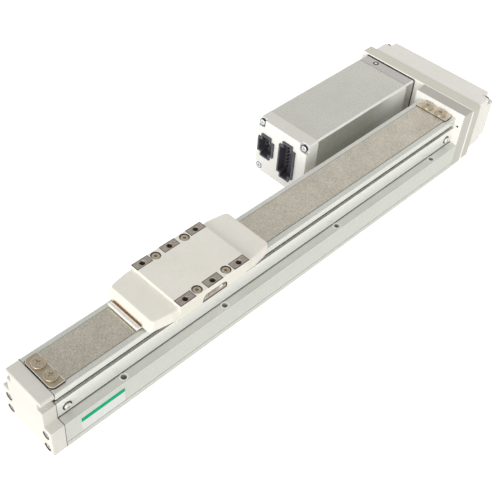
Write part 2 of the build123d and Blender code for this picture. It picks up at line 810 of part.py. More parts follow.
# Moulded cover over the table: tapered ends, a raised middle and an arch in each skirt
with BuildPart() as table_cover:
    with BuildSketch(at_carriage(skirt_bottom)):
        tapered_outline(table_cover_length, table_cover_width, table_cover_end_width, table_cover_straight)
    with BuildSketch(at_carriage(table_cover_shoulder)):
        tapered_outline(table_cover_top_length, table_cover_top_width, table_cover_top_end_width,
                        table_cover_straight)
    loft()
    fillet(table_cover.edges().filter_by(at_end_corner), cover_corner_radius)
    fillet(table_cover.faces().sort_by(Axis.Z)[-1].edges(), end_edge_rounding)
    with BuildSketch(at_carriage(skirt_bottom)):
        Rectangle(plateau_length, table_cover_width)
    extrude(amount=pad_top - skirt_bottom)
    fillet(table_cover.edges().group_by(Axis.Z)[-1], cover_edge_radius)
    with BuildSketch(at_carriage(skirt_bottom)):
        tapered_outline(table_cover_length - 2 * cover_wall, table_cover_width - 2 * cover_wall,
                        table_cover_end_width - 2 * cover_wall, table_cover_straight)
    with BuildSketch(at_carriage(table_cover_shoulder - cover_wall)):
        tapered_outline(table_cover_top_length - 2 * cover_wall, table_cover_top_width - 2 * cover_wall,
                        table_cover_top_end_width - 2 * cover_wall, table_cover_straight)
    loft(mode=Mode.SUBTRACT)
    with BuildSketch(at_carriage(skirt_bottom)):
        Rectangle(table_plate_length + 2 * cover_fit, 2 * leg_outer + 2 * cover_fit)
    extrude(amount=plate_top - skirt_bottom, mode=Mode.SUBTRACT)
    with BuildSketch(at_carriage(plate_top)):
        with Locations(*pad_places):
            Rectangle(pad_length + 2 * cover_fit, pad_width + 2 * cover_fit)
        with Locations(*table_screw_places):
            Circle(table_screw_head / 2 + table_screw_room)
    extrude(amount=pad_rise, mode=Mode.SUBTRACT)
    with BuildSketch(Plane.XZ) as arch:
        with Locations((carriage_x, skirt_bottom)):
            Rectangle(arch_length, arch_top - skirt_bottom, align=(Align.CENTER, Align.MIN))
        fillet(arch.vertices().group_by(Axis.Y)[-1], arch_radius)
    extrude(amount=table_cover_width, both=True, mode=Mode.SUBTRACT)
    with BuildSketch(at_carriage(skirt_bottom)):
        Rectangle(table_cover_length, scraper_width + 2 * cover_fit)
    extrude(amount=scraper_floor, mode=Mode.SUBTRACT)
table_cover.part.label = "table_cover"
export_step(table_cover.part, "parts/table_cover.step")

# Scrapers: a holder with a raised bar at each end of the cover, and a soft lip behind the bar
holder_outer = table_cover_length / 2 + scraper_reach
holder_inner = table_cover_length / 2 - scraper_root
bar_inner = holder_outer - scraper_bar_length
lip_length = scraper_reach - scraper_bar_length - 2 * scraper_lip_fit
for end, name in ((-1, "front"), (1, "rear")):
    with BuildPart() as scraper_holder:
        with BuildSketch(at_carriage(skirt_bottom)):
            with Locations((end * (holder_outer + holder_inner) / 2, 0)):
                Rectangle(holder_outer - holder_inner, scraper_width)
        extrude(amount=scraper_floor)
        with BuildSketch(at_carriage(skirt_bottom)):
            with Locations((end * (holder_outer + bar_inner) / 2, 0)):
                Rectangle(scraper_bar_length, scraper_width)
        extrude(amount=scraper_bar_height)
        fillet(scraper_holder.faces().sort_by(Axis.Z)[-1].edges(), edge_break)
        with BuildSketch(at_carriage(skirt_bottom + scraper_bar_height)):
            with Locations((end * (holder_outer + bar_inner) / 2, 0)):
                Rectangle(scraper_groove, scraper_width)
        extrude(amount=-scraper_groove_depth, mode=Mode.SUBTRACT)
        with BuildSketch(at_carriage(skirt_bottom)):
            with Locations((end * (bar_inner - lip_length / 2 - scraper_lip_fit), 0)):
                Rectangle(lip_length + 2 * scraper_lip_fit, scraper_width - 2 * scraper_side)
        extrude(amount=scraper_floor, mode=Mode.SUBTRACT)
    scraper_holder.part.label = f"scraper_holder_{name}"
    export_step(scraper_holder.part, f"parts/scraper_holder_{name}.step")

    with BuildPart() as scraper_lip:
        with BuildSketch(at_carriage(band_top + scraper_lip_gap)):
            with Locations((end * (bar_inner - lip_length / 2 - scraper_lip_fit), 0)):
                Rectangle(lip_length, scraper_width - 2 * scraper_side - 2 * scraper_lip_fit)
        extrude(amount=skirt_gap - scraper_lip_gap + scraper_bar_height - scraper_lip_drop)
    scraper_lip.part.label = f"scraper_lip_{name}"
    export_step(scraper_lip.part, f"parts/scraper_lip_{name}.step")

# Ball screw, turned from one bar, with a journal at each end
screw_front = body_front - front_bearing_width + hole_gap
screw_rear = pulley_front + pulley_length + hole_gap
front_shoulder = body_front + hole_gap
collar_rear = body_rear - thread_gap
collar_front = collar_rear - screw_collar_length
lock_nut_rear = plate_front + lock_nut_length + hole_gap
with BuildPart() as ball_screw:
    with BuildSketch(Plane.XZ):
        with BuildLine():
            Polyline(
                (screw_front, drive_height),
                (screw_front, drive_height + front_bearing_bore / 2),
                (front_shoulder, drive_height + front_bearing_bore / 2),
                (front_shoulder, drive_height + screw_diameter / 2),
                (collar_front, drive_height + screw_diameter / 2),
                (collar_front, drive_height + screw_collar_diameter / 2),
                (collar_rear, drive_height + screw_collar_diameter / 2),
                (collar_rear, drive_height + rear_bearing_bore / 2),
                (lock_nut_rear, drive_height + rear_bearing_bore / 2),
                (lock_nut_rear, drive_height + pulley_shaft_diameter / 2),
                (screw_rear, drive_height + pulley_shaft_diameter / 2),
                (screw_rear, drive_height),
                close=True,
            )
        make_face()
    revolve(axis=Axis((0, 0, drive_height), (1, 0, 0)))
ball_screw.part.label = "ball_screw"
export_step(ball_screw.part, "parts/ball_screw.step")

with BuildPart() as front_bearing:
    with Locations(facing(body_front - front_bearing_width, 0, drive_height, (1, 0, 0))):
        add(bearing(front_bearing_bore, front_bearing_outer, front_bearing_width))
front_bearing.part.label = "front_bearing"
export_step(front_bearing.part, "parts/front_bearing.step")

rear_bearing_width = bracket_thickness / 2
for index, name in enumerate(("inner", "outer")):
    with BuildPart() as rear_bearing:
        with Locations(facing(body_rear + index * rear_bearing_width, 0, drive_height, (1, 0, 0))):
            add(bearing(rear_bearing_bore, rear_bearing_outer, rear_bearing_width))
    rear_bearing.part.label = f"rear_bearing_{name}"
    export_step(rear_bearing.part, f"parts/rear_bearing_{name}.step")

with BuildPart() as lock_nut:
    with Locations(facing(plate_front + hole_gap, 0, drive_height, (1, 0, 0))):
        Cylinder(lock_nut_diameter / 2, lock_nut_length, align=upward)
        Cylinder(rear_bearing_bore / 2 + thread_gap, lock_nut_length, align=upward, mode=Mode.SUBTRACT)
        with PolarLocations(lock_nut_diameter / 2, 4):
            Box(lock_nut_slot_depth, lock_nut_slot_width, lock_nut_length, align=upward,
                mode=Mode.SUBTRACT)
lock_nut.part.label = "lock_nut"
export_step(lock_nut.part, "parts/lock_nut.step")

# Bearing bracket on the rear end of the body
bracket_left = -body_width / 2
bracket_screw_seat = m3_head_height + seat_margin
bracket_screw_places = end_screw_places(plate_front, 1)
plate_screw_rows = (bracket_foot_gap + plate_screw_low, bracket_top - plate_screw_drop)


def plate_screw_places(x):
    """Seat planes of the four plate screws on a face that looks along +X."""
    corners = [(side, z) for side in (-1, 1) for z in plate_screw_rows]
    return [facing(x, side * plate_screw_offset, z, (1, 0, 0)) for side, z in corners]


with BuildPart() as bearing_bracket:
    with BuildSketch(Plane.YZ.offset(body_rear)) as section:
        with Locations(((bracket_left + bracket_motor_side) / 2, bracket_foot_gap)):
            Rectangle(bracket_motor_side - bracket_left, bracket_height, align=(Align.CENTER, Align.MIN))
        fillet(section.vertices().group_by(Axis.Y)[-1], bracket_radius)
    extrude(amount=bracket_thickness)
    chamfer(bearing_bracket.faces().sort_by(Axis.X)[0].edges(), edge_break)
    with Locations(*bracket_screw_places):
        CounterBoreHole(m3 / 2 + hole_gap, m3_head / 2 + head_gap, bracket_screw_seat)
    with Locations(facing(plate_front, 0, drive_height, (1, 0, 0))):
        Hole(rear_bearing_outer / 2 + running_fit)
    with Locations(*plate_screw_places(plate_front)):
        Hole(m4 / 2 + thread_gap, depth=thread_reach)
bearing_bracket.part.label = "bearing_bracket"
export_step(bearing_bracket.part, "parts/bearing_bracket.step")

bracket_screws = fastened(
    socket_screw(m3, m3_head, m3_head_height, bracket_thickness - bracket_screw_seat + thread_reach),
    [place.offset(-bracket_screw_seat) for place in bracket_screw_places],
)
bracket_screws.part.label = "bracket_screws"
export_step(bracket_screws.part, "parts/bracket_screws.step")

# Drive plate that carries the motor beside the bracket
plate_left = motor_side + drive_plate_margin
plate_screw_seat = m4_head_height + seat_margin


def motor_corners(x, spacing, outward):
    """Seat planes of four screws round the motor's axis on a face square to X."""
    corners = [(side, level) for side in (-spacing / 2, spacing / 2) for level in (-spacing / 2, spacing / 2)]
    return [facing(x, motor_offset + side, drive_height + level, (outward, 0, 0)) for side, level in corners]


pulley_cover_right = bracket_left + pulley_cover_side_inset
pulley_cover_width = motor_side - pulley_cover_right
pulley_cover_bottom = bracket_foot_gap + pulley_cover_bottom_inset
pulley_cover_height = bracket_top - pulley_cover_top_inset - pulley_cover_bottom
pulley_cover_y = (motor_side + pulley_cover_right) / 2
pulley_cover_z = pulley_cover_bottom + pulley_cover_height / 2
cover_screw_places = [
    facing(plate_rear, pulley_cover_y + side * (pulley_cover_width - pulley_cover_pocket) / 2,
           pulley_cover_z + level * (pulley_cover_height - pulley_cover_pocket) / 2, (1, 0, 0))
    for side in (-1, 1) for level in (-1, 1)
]
with BuildPart() as drive_plate:
    with BuildSketch(Plane.YZ.offset(plate_front)) as section:
        with Locations(((plate_left + bracket_left) / 2, bracket_foot_gap)):
            Rectangle(plate_left - bracket_left, bracket_height, align=(Align.CENTER, Align.MIN))
        fillet(section.vertices(), drive_plate_radius)
    extrude(amount=drive_plate_thickness)
    chamfer(drive_plate.faces().sort_by(Axis.X)[0].edges(), edge_break)
    chamfer(drive_plate.faces().sort_by(Axis.X)[-1].edges(), edge_break)
    with Locations(*plate_screw_places(plate_rear), *motor_corners(plate_rear, motor_screw_spacing, 1)):
        CounterBoreHole(m4 / 2 + hole_gap, m4_head / 2 + head_gap, plate_screw_seat)
    with Locations(*cover_screw_places):
        Hole(m3 / 2 + thread_gap, depth=thread_reach)
    with Locations(facing(plate_rear, 0, drive_height, (1, 0, 0))):
        Hole(lock_nut_diameter / 2 + shaft_relief)
    with Locations(facing(plate_front, motor_offset, drive_height, (-1, 0, 0))):
        CounterBoreHole(motor_shaft_diameter, motor_pilot_diameter / 2 + motor_pilot_fit,
                        motor_pilot_height + motor_pilot_fit)
drive_plate.part.label = "drive_plate"
export_step(drive_plate.part, "parts/drive_plate.step")

plate_screw_length = drive_plate_thickness - plate_screw_seat + screw_reach
plate_screw = socket_screw(m4, m4_head, m4_head_height, plate_screw_length)
plate_screws = fastened(plate_screw, plate_screw_places(plate_rear - plate_screw_seat))
plate_screws.part.label = "plate_screws"
export_step(plate_screws.part, "parts/plate_screws.step")

motor_screws = fastened(plate_screw, motor_corners(plate_rear - plate_screw_seat, motor_screw_spacing, 1))
motor_screws.part.label = "motor_screws"
export_step(motor_screws.part, "parts/motor_screws.step")

# Pulley cover with a screw pocket in each corner
with BuildPart() as pulley_cover:
    with Locations(across_x(plate_rear, pulley_cover_y, pulley_cover_z)):
        add(pocketed_cover(pulley_cover_width, pulley_cover_height, pulley_cover_depth, pulley_cover_wall,
                           pulley_cover_pocket, pulley_cover_pocket_depth, drive_plate_radius,
                           pulley_cover_radius))
pulley_cover.part.label = "pulley_cover"
export_step(pulley_cover.part, "parts/pulley_cover.step")

cover_screw_seat = pulley_cover_depth - pulley_cover_pocket_depth
pulley_cover_screws = fastened(
    socket_screw(m3, m3_head, m3_head_height, cover_screw_seat + screw_reach),
    [place.offset(cover_screw_seat) for place in cover_screw_places],
)
pulley_cover_screws.part.label = "pulley_cover_screws"
export_step(pulley_cover_screws.part, "parts/pulley_cover_screws.step")

# Belt drive: one pulley on the screw, one on the motor shaft, and the toothed belt
pulleys = ((0, pulley_shaft_diameter, "screw_pulley"), (motor_offset, motor_shaft_diameter, "motor_pulley"))
for y, bore, name in pulleys:
    with BuildPart() as pulley:
        with Locations(across_x(pulley_front, y, drive_height)):
            add(toothed_pulley(bore + 2 * thread_gap))
    pulley.part.label = name
    export_step(pulley.part, f"parts/{name}.step")

belt_inner = pulley_radius + belt_gap
belt_front = pulley_front + (pulley_length - belt_width) / 2
belt_run_teeth = int((motor_offset - pulley_radius) // belt_pitch)
with BuildPart() as timing_belt:
    with BuildSketch(across_x(belt_front, motor_offset / 2, drive_height)):
        SlotCenterToCenter(motor_offset, 2 * (belt_inner + belt_thickness))
        SlotCenterToCenter(motor_offset, 2 * belt_inner, mode=Mode.SUBTRACT)
        for level in (-1, 1):
            with Locations((0, level * (belt_inner - belt_tooth_height / 2))):
                with GridLocations(belt_pitch, belt_tooth_height, belt_run_teeth, 1):
                    Rectangle(belt_pitch / 2, belt_tooth_height)
    extrude(amount=belt_width)
timing_belt.part.label = "timing_belt"
export_step(timing_belt.part, "parts/timing_belt.step")

# Motor flange, with its pilot seated in the drive plate
motor_centre = (motor_offset, drive_height)
with BuildPart() as motor_flange:
    with BuildSketch(Plane.YZ.offset(stack_rear)):
        with Locations(motor_centre):
            RectangleRounded(motor_size, motor_size, motor_corner_radius)
    extrude(amount=motor_flange_length - flange_step)
    chamfer(motor_flange.faces().sort_by(Axis.X)[0].edges(), edge_break)
    with BuildSketch(Plane.YZ.offset(plate_front - flange_step)):
        with Locations(motor_centre):
            Rectangle(motor_size - 2 * flange_step_inset, motor_size - 2 * flange_step_inset)
    extrude(amount=flange_step)
    with BuildSketch(Plane.YZ.offset(plate_front)):
        with Locations(motor_centre):
            Circle(motor_pilot_diameter / 2)
    extrude(amount=motor_pilot_height)
    with Locations(facing(stack_rear, motor_offset, drive_height, (-1, 0, 0))):
        CounterBoreHole(motor_shaft_diameter / 2 + shaft_relief, motor_bearing_outer / 2 + running_fit,
                        motor_bearing_width)
    with Locations(*motor_corners(plate_front, motor_screw_spacing, 1)):
        Hole(m4 / 2 + thread_gap, depth=thread_reach)
    with Locations((stack_rear + motor_flange_length / 2, motor_offset + flange_side_hole_offset,
                    drive_height + motor_size / 2)):
        Hole(flange_side_hole_diameter / 2, depth=flange_side_hole_depth)
motor_flange.part.label = "motor_flange"
export_step(motor_flange.part, "parts/motor_flange.step")

# Motor stack, bored for the rotor and for its rear bearing
cap_screw_spacing = motor_size - cap_pocket
with BuildPart() as motor_stack:
    with BuildSketch(Plane.YZ.offset(stack_front)):
        with Locations(motor_centre):
            RectangleRounded(motor_size, motor_size, motor_corner_radius)
    extrude(amount=motor_stack_length)
    chamfer(motor_stack.faces().sort_by(Axis.X)[-1].edges(), edge_break)
    with Locations(facing(stack_rear, motor_offset, drive_height, (1, 0, 0))):
        CounterBoreHole(motor_shaft_diameter / 2 + shaft_relief, rotor_diameter / 2 + rotor_gap,
                        motor_stack_length - motor_bearing_width - shaft_relief)
    with Locations(facing(stack_front, motor_offset, drive_height, (-1, 0, 0))):
        Hole(motor_bearing_outer / 2 + running_fit, depth=motor_bearing_width)
    with Locations(*motor_corners(stack_front, cap_screw_spacing, -1)):
        Hole(m3 / 2 + thread_gap, depth=thread_reach)
motor_stack.part.label = "motor_stack"
export_step(motor_stack.part, "parts/motor_stack.step")

for x, name in ((stack_rear, "motor_bearing_front"), (stack_front, "motor_bearing_rear")):
    with BuildPart() as motor_bearing:
        with Locations(facing(x, motor_offset, drive_height, (1, 0, 0))):
            add(bearing(motor_shaft_diameter, motor_bearing_outer, motor_bearing_width))
    motor_bearing.part.label = name
    export_step(motor_bearing.part, f"parts/{name}.step")

# Rotor and encoder disc on the motor shaft
shaft_front = stack_front - encoder_disc_thickness - hole_gap
with BuildPart() as motor_shaft:
    with Locations(facing(shaft_front, motor_offset, drive_height, (1, 0, 0))):
        Cylinder(motor_shaft_diameter / 2, plate_front + motor_shaft_reach - shaft_front, align=upward)
    chamfer(motor_shaft.faces().sort_by(Axis.X)[-1].edges(), edge_break)
motor_shaft.part.label = "motor_shaft"
export_step(motor_shaft.part, "parts/motor_shaft.step")

rotor_start = stack_front + motor_bearing_width + rotor_end_gap
rotor_end = stack_rear - rotor_end_gap
with BuildPart() as motor_rotor:
    with Locations(facing(rotor_start, motor_offset, drive_height, (1, 0, 0))):
        Cylinder(rotor_diameter / 2, rotor_end - rotor_start, align=upward)
        Cylinder(motor_shaft_diameter / 2 + thread_gap, rotor_end - rotor_start, align=upward,
                 mode=Mode.SUBTRACT)
motor_rotor.part.label = "motor_rotor"
export_step(motor_rotor.part, "parts/motor_rotor.step")

with BuildPart() as encoder_disc:
    with Locations(facing(stack_front - encoder_disc_thickness, motor_offset, drive_height, (1, 0, 0))):
        Cylinder(encoder_disc_diameter / 2, encoder_disc_thickness - hole_gap, align=upward)
        Cylinder(motor_shaft_diameter / 2 + thread_gap, encoder_disc_thickness, align=upward,
                 mode=Mode.SUBTRACT)
encoder_disc.part.label = "encoder_disc"
export_step(encoder_disc.part, "parts/encoder_disc.step")

# End cap with corner screw pockets and two connector openings
small_connector_place = (motor_offset + small_connector_offset, drive_height + small_connector_rise)
large_connector_place = (motor_offset + large_connector_offset, drive_height)
connectors = (
    ("small", small_connector_place, small_connector_height),
    ("large", large_connector_place, large_connector_height),
)


def connector_outline(height, grow):
    """Rectangle with a narrower latch tab above and below, grown all round."""
    Rectangle(connector_width + 2 * grow, height + 2 * grow)
    Rectangle(connector_tab_width + 2 * grow, height + 2 * connector_tab_height + 2 * grow)


with BuildPart() as motor_cap:
    cap_plane = Plane(origin=(stack_front, motor_offset, drive_height), x_dir=(0, -1, 0), z_dir=(-1, 0, 0))
    with Locations(cap_plane):
        add(pocketed_cover(motor_size, motor_size, motor_cap_length, cap_wall, cap_pocket, cap_pocket_depth,
                           motor_corner_radius, cover_edge_radius))
    for name, place, height in connectors:
        with BuildSketch(Plane.YZ.offset(cap_face)):
            with Locations(place):
                connector_outline(height, connector_fit)
        extrude(amount=cap_wall, mode=Mode.SUBTRACT)
motor_cap.part.label = "motor_cap"
export_step(motor_cap.part, "parts/motor_cap.step")

motor_cap_screws = fastened(
    socket_screw(m3, m3_head, m3_head_height, motor_cap_length - cap_pocket_depth + screw_reach),
    motor_corners(cap_face + cap_pocket_depth, cap_screw_spacing, -1),
)
motor_cap_screws.part.label = "motor_cap_screws"
export_step(motor_cap_screws.part, "parts/motor_cap_screws.step")

# Connector shrouds on the encoder board, with their contact pins
connector_face = cap_face - connector_proud
connector_floor = connector_face + connector_depth - connector_back
for name, place, height in connectors:
    with BuildPart() as connector:
        with BuildSketch(Plane.YZ.offset(connector_face)):
            with Locations(place):
                connector_outline(height, 0)
        extrude(amount=connector_depth)
        with BuildSketch(Plane.YZ.offset(connector_face)):
            with Locations(place):
                connector_outline(height, -connector_wall)
        extrude(amount=connector_depth - connector_back, mode=Mode.SUBTRACT)
    connector.part.label = f"{name}_connector"
    export_step(connector.part, f"parts/{name}_connector.step")

    pin_rows = int((height - 2 * connector_wall) // pin_pitch)
    with BuildPart() as pins:
        with BuildSketch(Plane.YZ.offset(connector_floor)):
            with Locations(place):
                with GridLocations(pin_pitch * 1.5, pin_pitch, 2, pin_rows):
                    Rectangle(pin_width, pin_width)
        extrude(amount=-pin_length)
    pins.part.label = f"{name}_connector_pins"
    export_step(pins.part, f"parts/{name}_connector_pins.step")

with BuildPart() as encoder_board:
    with BuildSketch(Plane.YZ.offset(connector_face + connector_depth)):
        with Locations(motor_centre):
            Rectangle(board_size, board_size)
            with GridLocations(board_size - board_corner, board_size - board_corner, 2, 2):
                Rectangle(board_corner, board_corner, mode=Mode.SUBTRACT)
    extrude(amount=board_thickness)
encoder_board.part.label = "encoder_board"
export_step(encoder_board.part, "parts/encoder_board.step")
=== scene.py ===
"""Studio picture of an electric slide actuator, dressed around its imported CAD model."""

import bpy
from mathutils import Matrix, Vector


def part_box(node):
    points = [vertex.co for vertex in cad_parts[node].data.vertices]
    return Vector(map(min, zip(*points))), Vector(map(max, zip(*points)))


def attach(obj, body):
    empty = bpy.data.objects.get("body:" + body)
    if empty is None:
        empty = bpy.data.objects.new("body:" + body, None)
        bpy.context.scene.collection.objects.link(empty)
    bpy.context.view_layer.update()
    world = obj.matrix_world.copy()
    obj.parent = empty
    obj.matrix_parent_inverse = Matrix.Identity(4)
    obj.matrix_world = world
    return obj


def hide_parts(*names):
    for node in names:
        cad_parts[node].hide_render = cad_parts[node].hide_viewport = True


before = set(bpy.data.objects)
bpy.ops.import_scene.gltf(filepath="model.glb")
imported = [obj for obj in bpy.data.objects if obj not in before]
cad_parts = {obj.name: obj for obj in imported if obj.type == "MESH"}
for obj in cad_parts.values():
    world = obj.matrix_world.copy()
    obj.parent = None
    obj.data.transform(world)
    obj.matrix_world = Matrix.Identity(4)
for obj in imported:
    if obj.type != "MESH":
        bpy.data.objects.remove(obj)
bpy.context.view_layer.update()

import logging
import math
from dataclasses import dataclass
from enum import Enum
from functools import cache, partial
from itertools import product
from typing import Any, Iterable, Sequence

import bmesh
import bpy
from mathutils import Matrix, Vector

LOG = logging.getLogger("slide_actuator")
MM = 0.001
PICTURE_SIZE = 500.0
SIDES = (-1, 1)
CORNERS = tuple(product(SIDES, SIDES))
# Share of a slab's thickness that its bevel takes, and points round a turned ring
BEVEL_SHARE = 0.3
TURNED_STEPS = 20

Socket = bpy.types.NodeSocket
Pair = tuple[float, float]
Triple = tuple[float, float, float]
# Outer and inner radius of a tube, and the distances of its two ends along its line
Tube = tuple[float, float, float, float]
Profile = tuple[Pair, ...]
Ring = list[Vector]
# Rings of points in millimetres with a skin over them, and whether the last ring joins the first
Shell = tuple[list[Ring], bool]


class Body(Enum):
    """The bodies that the script's own pieces ride on."""

    BASE = "base"
    CARRIAGE = "carriage"
    DRIVE_SCREW = "drive_screw"


def hex_to_linear(colour: str) -> tuple[float, float, float, float]:
    """Turns an sRGB hex colour into linear red, green, blue and alpha.

    Args:
        colour: six hex digits after a hash sign.

    Returns:
        The four linear components.
    """
    channels = [int(colour[start:start + 2], 16) / 255 for start in (1, 3, 5)]
    linear = [c / 12.92 if c <= 0.04045 else ((c + 0.055) / 1.055) ** 2.4 for c in channels]
    return (linear[0], linear[1], linear[2], 1.0)


def add_node(
    tree: bpy.types.NodeTree,
    kind: str,
    settings: dict[Any, Any] | None = None,
    links: dict[Any, Socket] | None = None,
) -> bpy.types.Node:
    """Adds one node with its settings and links.

    Args:
        tree: the node tree that gets the node.
        kind: Blender's type name of the node.
        settings: attributes of the node or default values of its inputs, by name or number.
        links: output sockets to connect, by the name or number of the input that takes them.

    Returns:
        The new node.
    """
    node = tree.nodes.new(kind)
    for key, value in (settings or {}).items():
        if isinstance(key, str) and hasattr(node, key):
            setattr(node, key, value)
        else:
            node.inputs[key].default_value = value
    for key, source in (links or {}).items():
        tree.links.new(source, node.inputs[key])
    return node


@dataclass(frozen=True)
class Cloud:
    """Random pattern with features of a real size.

    Its contrast is how far from the middle grey its two end values are reached, its detail how much
    finer pattern rides on it, and its length how many times longer a feature is along X.
    """

    feature_mm: float
    contrast: float = 0.2
    detail: float = 3.0
    length: float = 1.0


@dataclass(frozen=True)
class Zone:
    """Part of a surface with a shade of its own, which may show only in part. Every zone in this script is
    painted light or painted shade.

    It is what looks against an axis or, where none is given, what lies in a range of distances from
    the middle plane and in a range of heights.
    """

    shade: str
    share: float = 1.0
    against: str = ""
    across_mm: Pair = (0.0, 0.0)
    height_mm: Pair = (0.0, 0.0)


class SurfaceTree:
    """One material's shader and the patterns that feed it, sized in real millimetres."""

    # Grain of about one pixel in the picture
    pixel_grain = Cloud(1.1, 0.25, 1.0)
    cloud_roughness = 0.6
    edge_samples = 6
    # Share of the normal along an axis under which a face looks against it
    facing_limit = -0.7

    def __init__(self, name: str) -> None:
        """Starts an empty material.

        Args:
            name: the material's name.
        """
        self.material = bpy.data.materials.new(name)
        self.material.use_nodes = True
        self.material.node_tree.nodes.clear()
        self.add = partial(add_node, self.material.node_tree)
        coordinates = self.add("ShaderNodeTexCoord").outputs
        self.place = coordinates["Object"]
        self.normal = coordinates["Normal"]

    def cloud(self, cloud: Cloud, low: float = 0.0, high: float = 1.0) -> Socket:
        """Draws a random pattern.

        Args:
            cloud: the pattern.
            low: the value in its hollows.
            high: the value on its peaks.

        Returns:
            The socket that carries the value.
        """
        stretch = {"Scale": (1.0 / cloud.length, 1.0, 1.0)}
        place = self.add("ShaderNodeMapping", stretch, {"Vector": self.place}).outputs[0]
        scale = 1.0 / (cloud.feature_mm * MM)
        form = {"Scale": scale, "Detail": cloud.detail, "Roughness": self.cloud_roughness}
        noise = self.add("ShaderNodeTexNoise", form, {"Vector": place}).outputs[0]
        ends = {1: 0.5 - cloud.contrast, 2: 0.5 + cloud.contrast, 3: low, 4: high}
        return self.add("ShaderNodeMapRange", ends, {0: noise}).outputs[0]

    def tint(self, factor: Socket, first: str, second: str) -> Socket:
        """Mixes two hex colours by a pattern, 0 for the first and 1 for the second."""
        shades = {"data_type": "RGBA", 6: hex_to_linear(first), 7: hex_to_linear(second)}
        return self.add("ShaderNodeMix", shades, {0: factor}).outputs[2]

    def grain(self, colour: Socket, strength: float) -> Socket:
        """Breaks a colour up with a fine light and dark grain."""
        level = self.cloud(self.pixel_grain, 1.0 - strength, 1.0 + strength)
        return self.add("ShaderNodeHueSaturation", {}, {"Color": colour, "Value": level}).outputs[0]

    def between(self, axis: str, low_mm: float, high_mm: float) -> Socket:
        """Masks where the distance from zero along one axis lies between two sizes.

        Args:
            axis: X, Y or Z.
            low_mm: the least distance.
            high_mm: the greatest distance.

        Returns:
            The socket that carries the mask.
        """
        place = self.add("ShaderNodeSeparateXYZ", {}, {0: self.place}).outputs[axis]
        distance = self.add("ShaderNodeMath", {"operation": "ABSOLUTE"}, {0: place}).outputs[0]
        band = {"operation": "COMPARE", 1: (low_mm + high_mm) * MM / 2, 2: (high_mm - low_mm) * MM / 2}
        return self.add("ShaderNodeMath", band, {0: distance}).outputs[0]

    def both(self, first: Socket, second: Socket) -> Socket:
        """Mask that is 1 where two masks are."""
        return self.add("ShaderNodeMath", {"operation": "MULTIPLY"}, {0: first, 1: second}).outputs[0]

    def facing(self, axis: str) -> Socket:
        """Masks what looks against one axis.

        Args:
            axis: X, Y or Z.

        Returns:
            The socket that carries the mask.
        """
        along = self.add("ShaderNodeSeparateXYZ", {}, {0: self.normal}).outputs[axis]
        limit = {"operation": "LESS_THAN", 1: self.facing_limit}
        return self.add("ShaderNodeMath", limit, {0: along}).outputs[0]

    def zone(self, zone: Zone) -> Socket:
        """Masks a zone.

        Args:
            zone: the zone.

        Returns:
            The socket that carries the mask.
        """
        if zone.against:
            return self.facing(zone.against)
        return self.both(self.between("Y", *zone.across_mm), self.between("Z", *zone.height_mm))

    def rise(self, axis: str, low_mm: float, high_mm: float) -> Socket:
        """Masks the far end of an axis, smoothly.

        Args:
            axis: X, Y or Z.
            low_mm: the place where the mask starts.
            high_mm: the place where it is full.

        Returns:
            The socket that carries the mask.
        """
        place = self.add("ShaderNodeSeparateXYZ", {}, {0: self.place}).outputs[axis]
        ends = {"interpolation_type": "SMOOTHSTEP", 1: low_mm * MM, 2: high_mm * MM}
        return self.add("ShaderNodeMapRange", ends, {0: place}).outputs[0]

    def cover(self, mask: Socket, share: float, colour: Socket, top: str) -> Socket:
        """Lays a hex colour over another colour where a mask is 1.

        Args:
            mask: where it lies.
            share: how much it hides.
            colour: the colour below.
            top: the colour above.

        Returns:
            The socket that carries the colour.
        """
        factor = self.add("ShaderNodeMath", {"operation": "MULTIPLY", 1: share}, {0: mask}).outputs[0]
        shades = {"data_type": "RGBA", 7: hex_to_linear(top)}
        return self.add("ShaderNodeMix", shades, {0: factor, 6: colour}).outputs[2]

    def rounded_edges(self, radius_mm: float) -> Socket:
        """Normals that run round every sharp edge, as a deburred or moulded edge does."""
        edges = {"samples": self.edge_samples, "Radius": radius_mm * MM}
        return self.add("ShaderNodeBevel", edges).outputs[0]

    def relief(self, height: Socket, depth_mm: float, normal: Socket) -> Socket:
        """Bumps of a real depth on a normal, from a pattern of heights."""
        links = {"Height": height, "Normal": normal}
        return self.add("ShaderNodeBump", {"Strength": 1.0, "Distance": depth_mm * MM}, links).outputs[0]

    def finish(self, settings: dict[str, Any], links: dict[str, Socket]) -> bpy.types.Material:
        """Closes the tree with its shader.

        Args:
            settings: values that are the same all over the surface.
            links: patterns, by the shader input that takes them.

        Returns:
            The finished material.
        """
        shader = self.add("ShaderNodeBsdfPrincipled", settings, links)
        self.add("ShaderNodeOutputMaterial", {}, {"Surface": shader.outputs[0]})
        return self.material


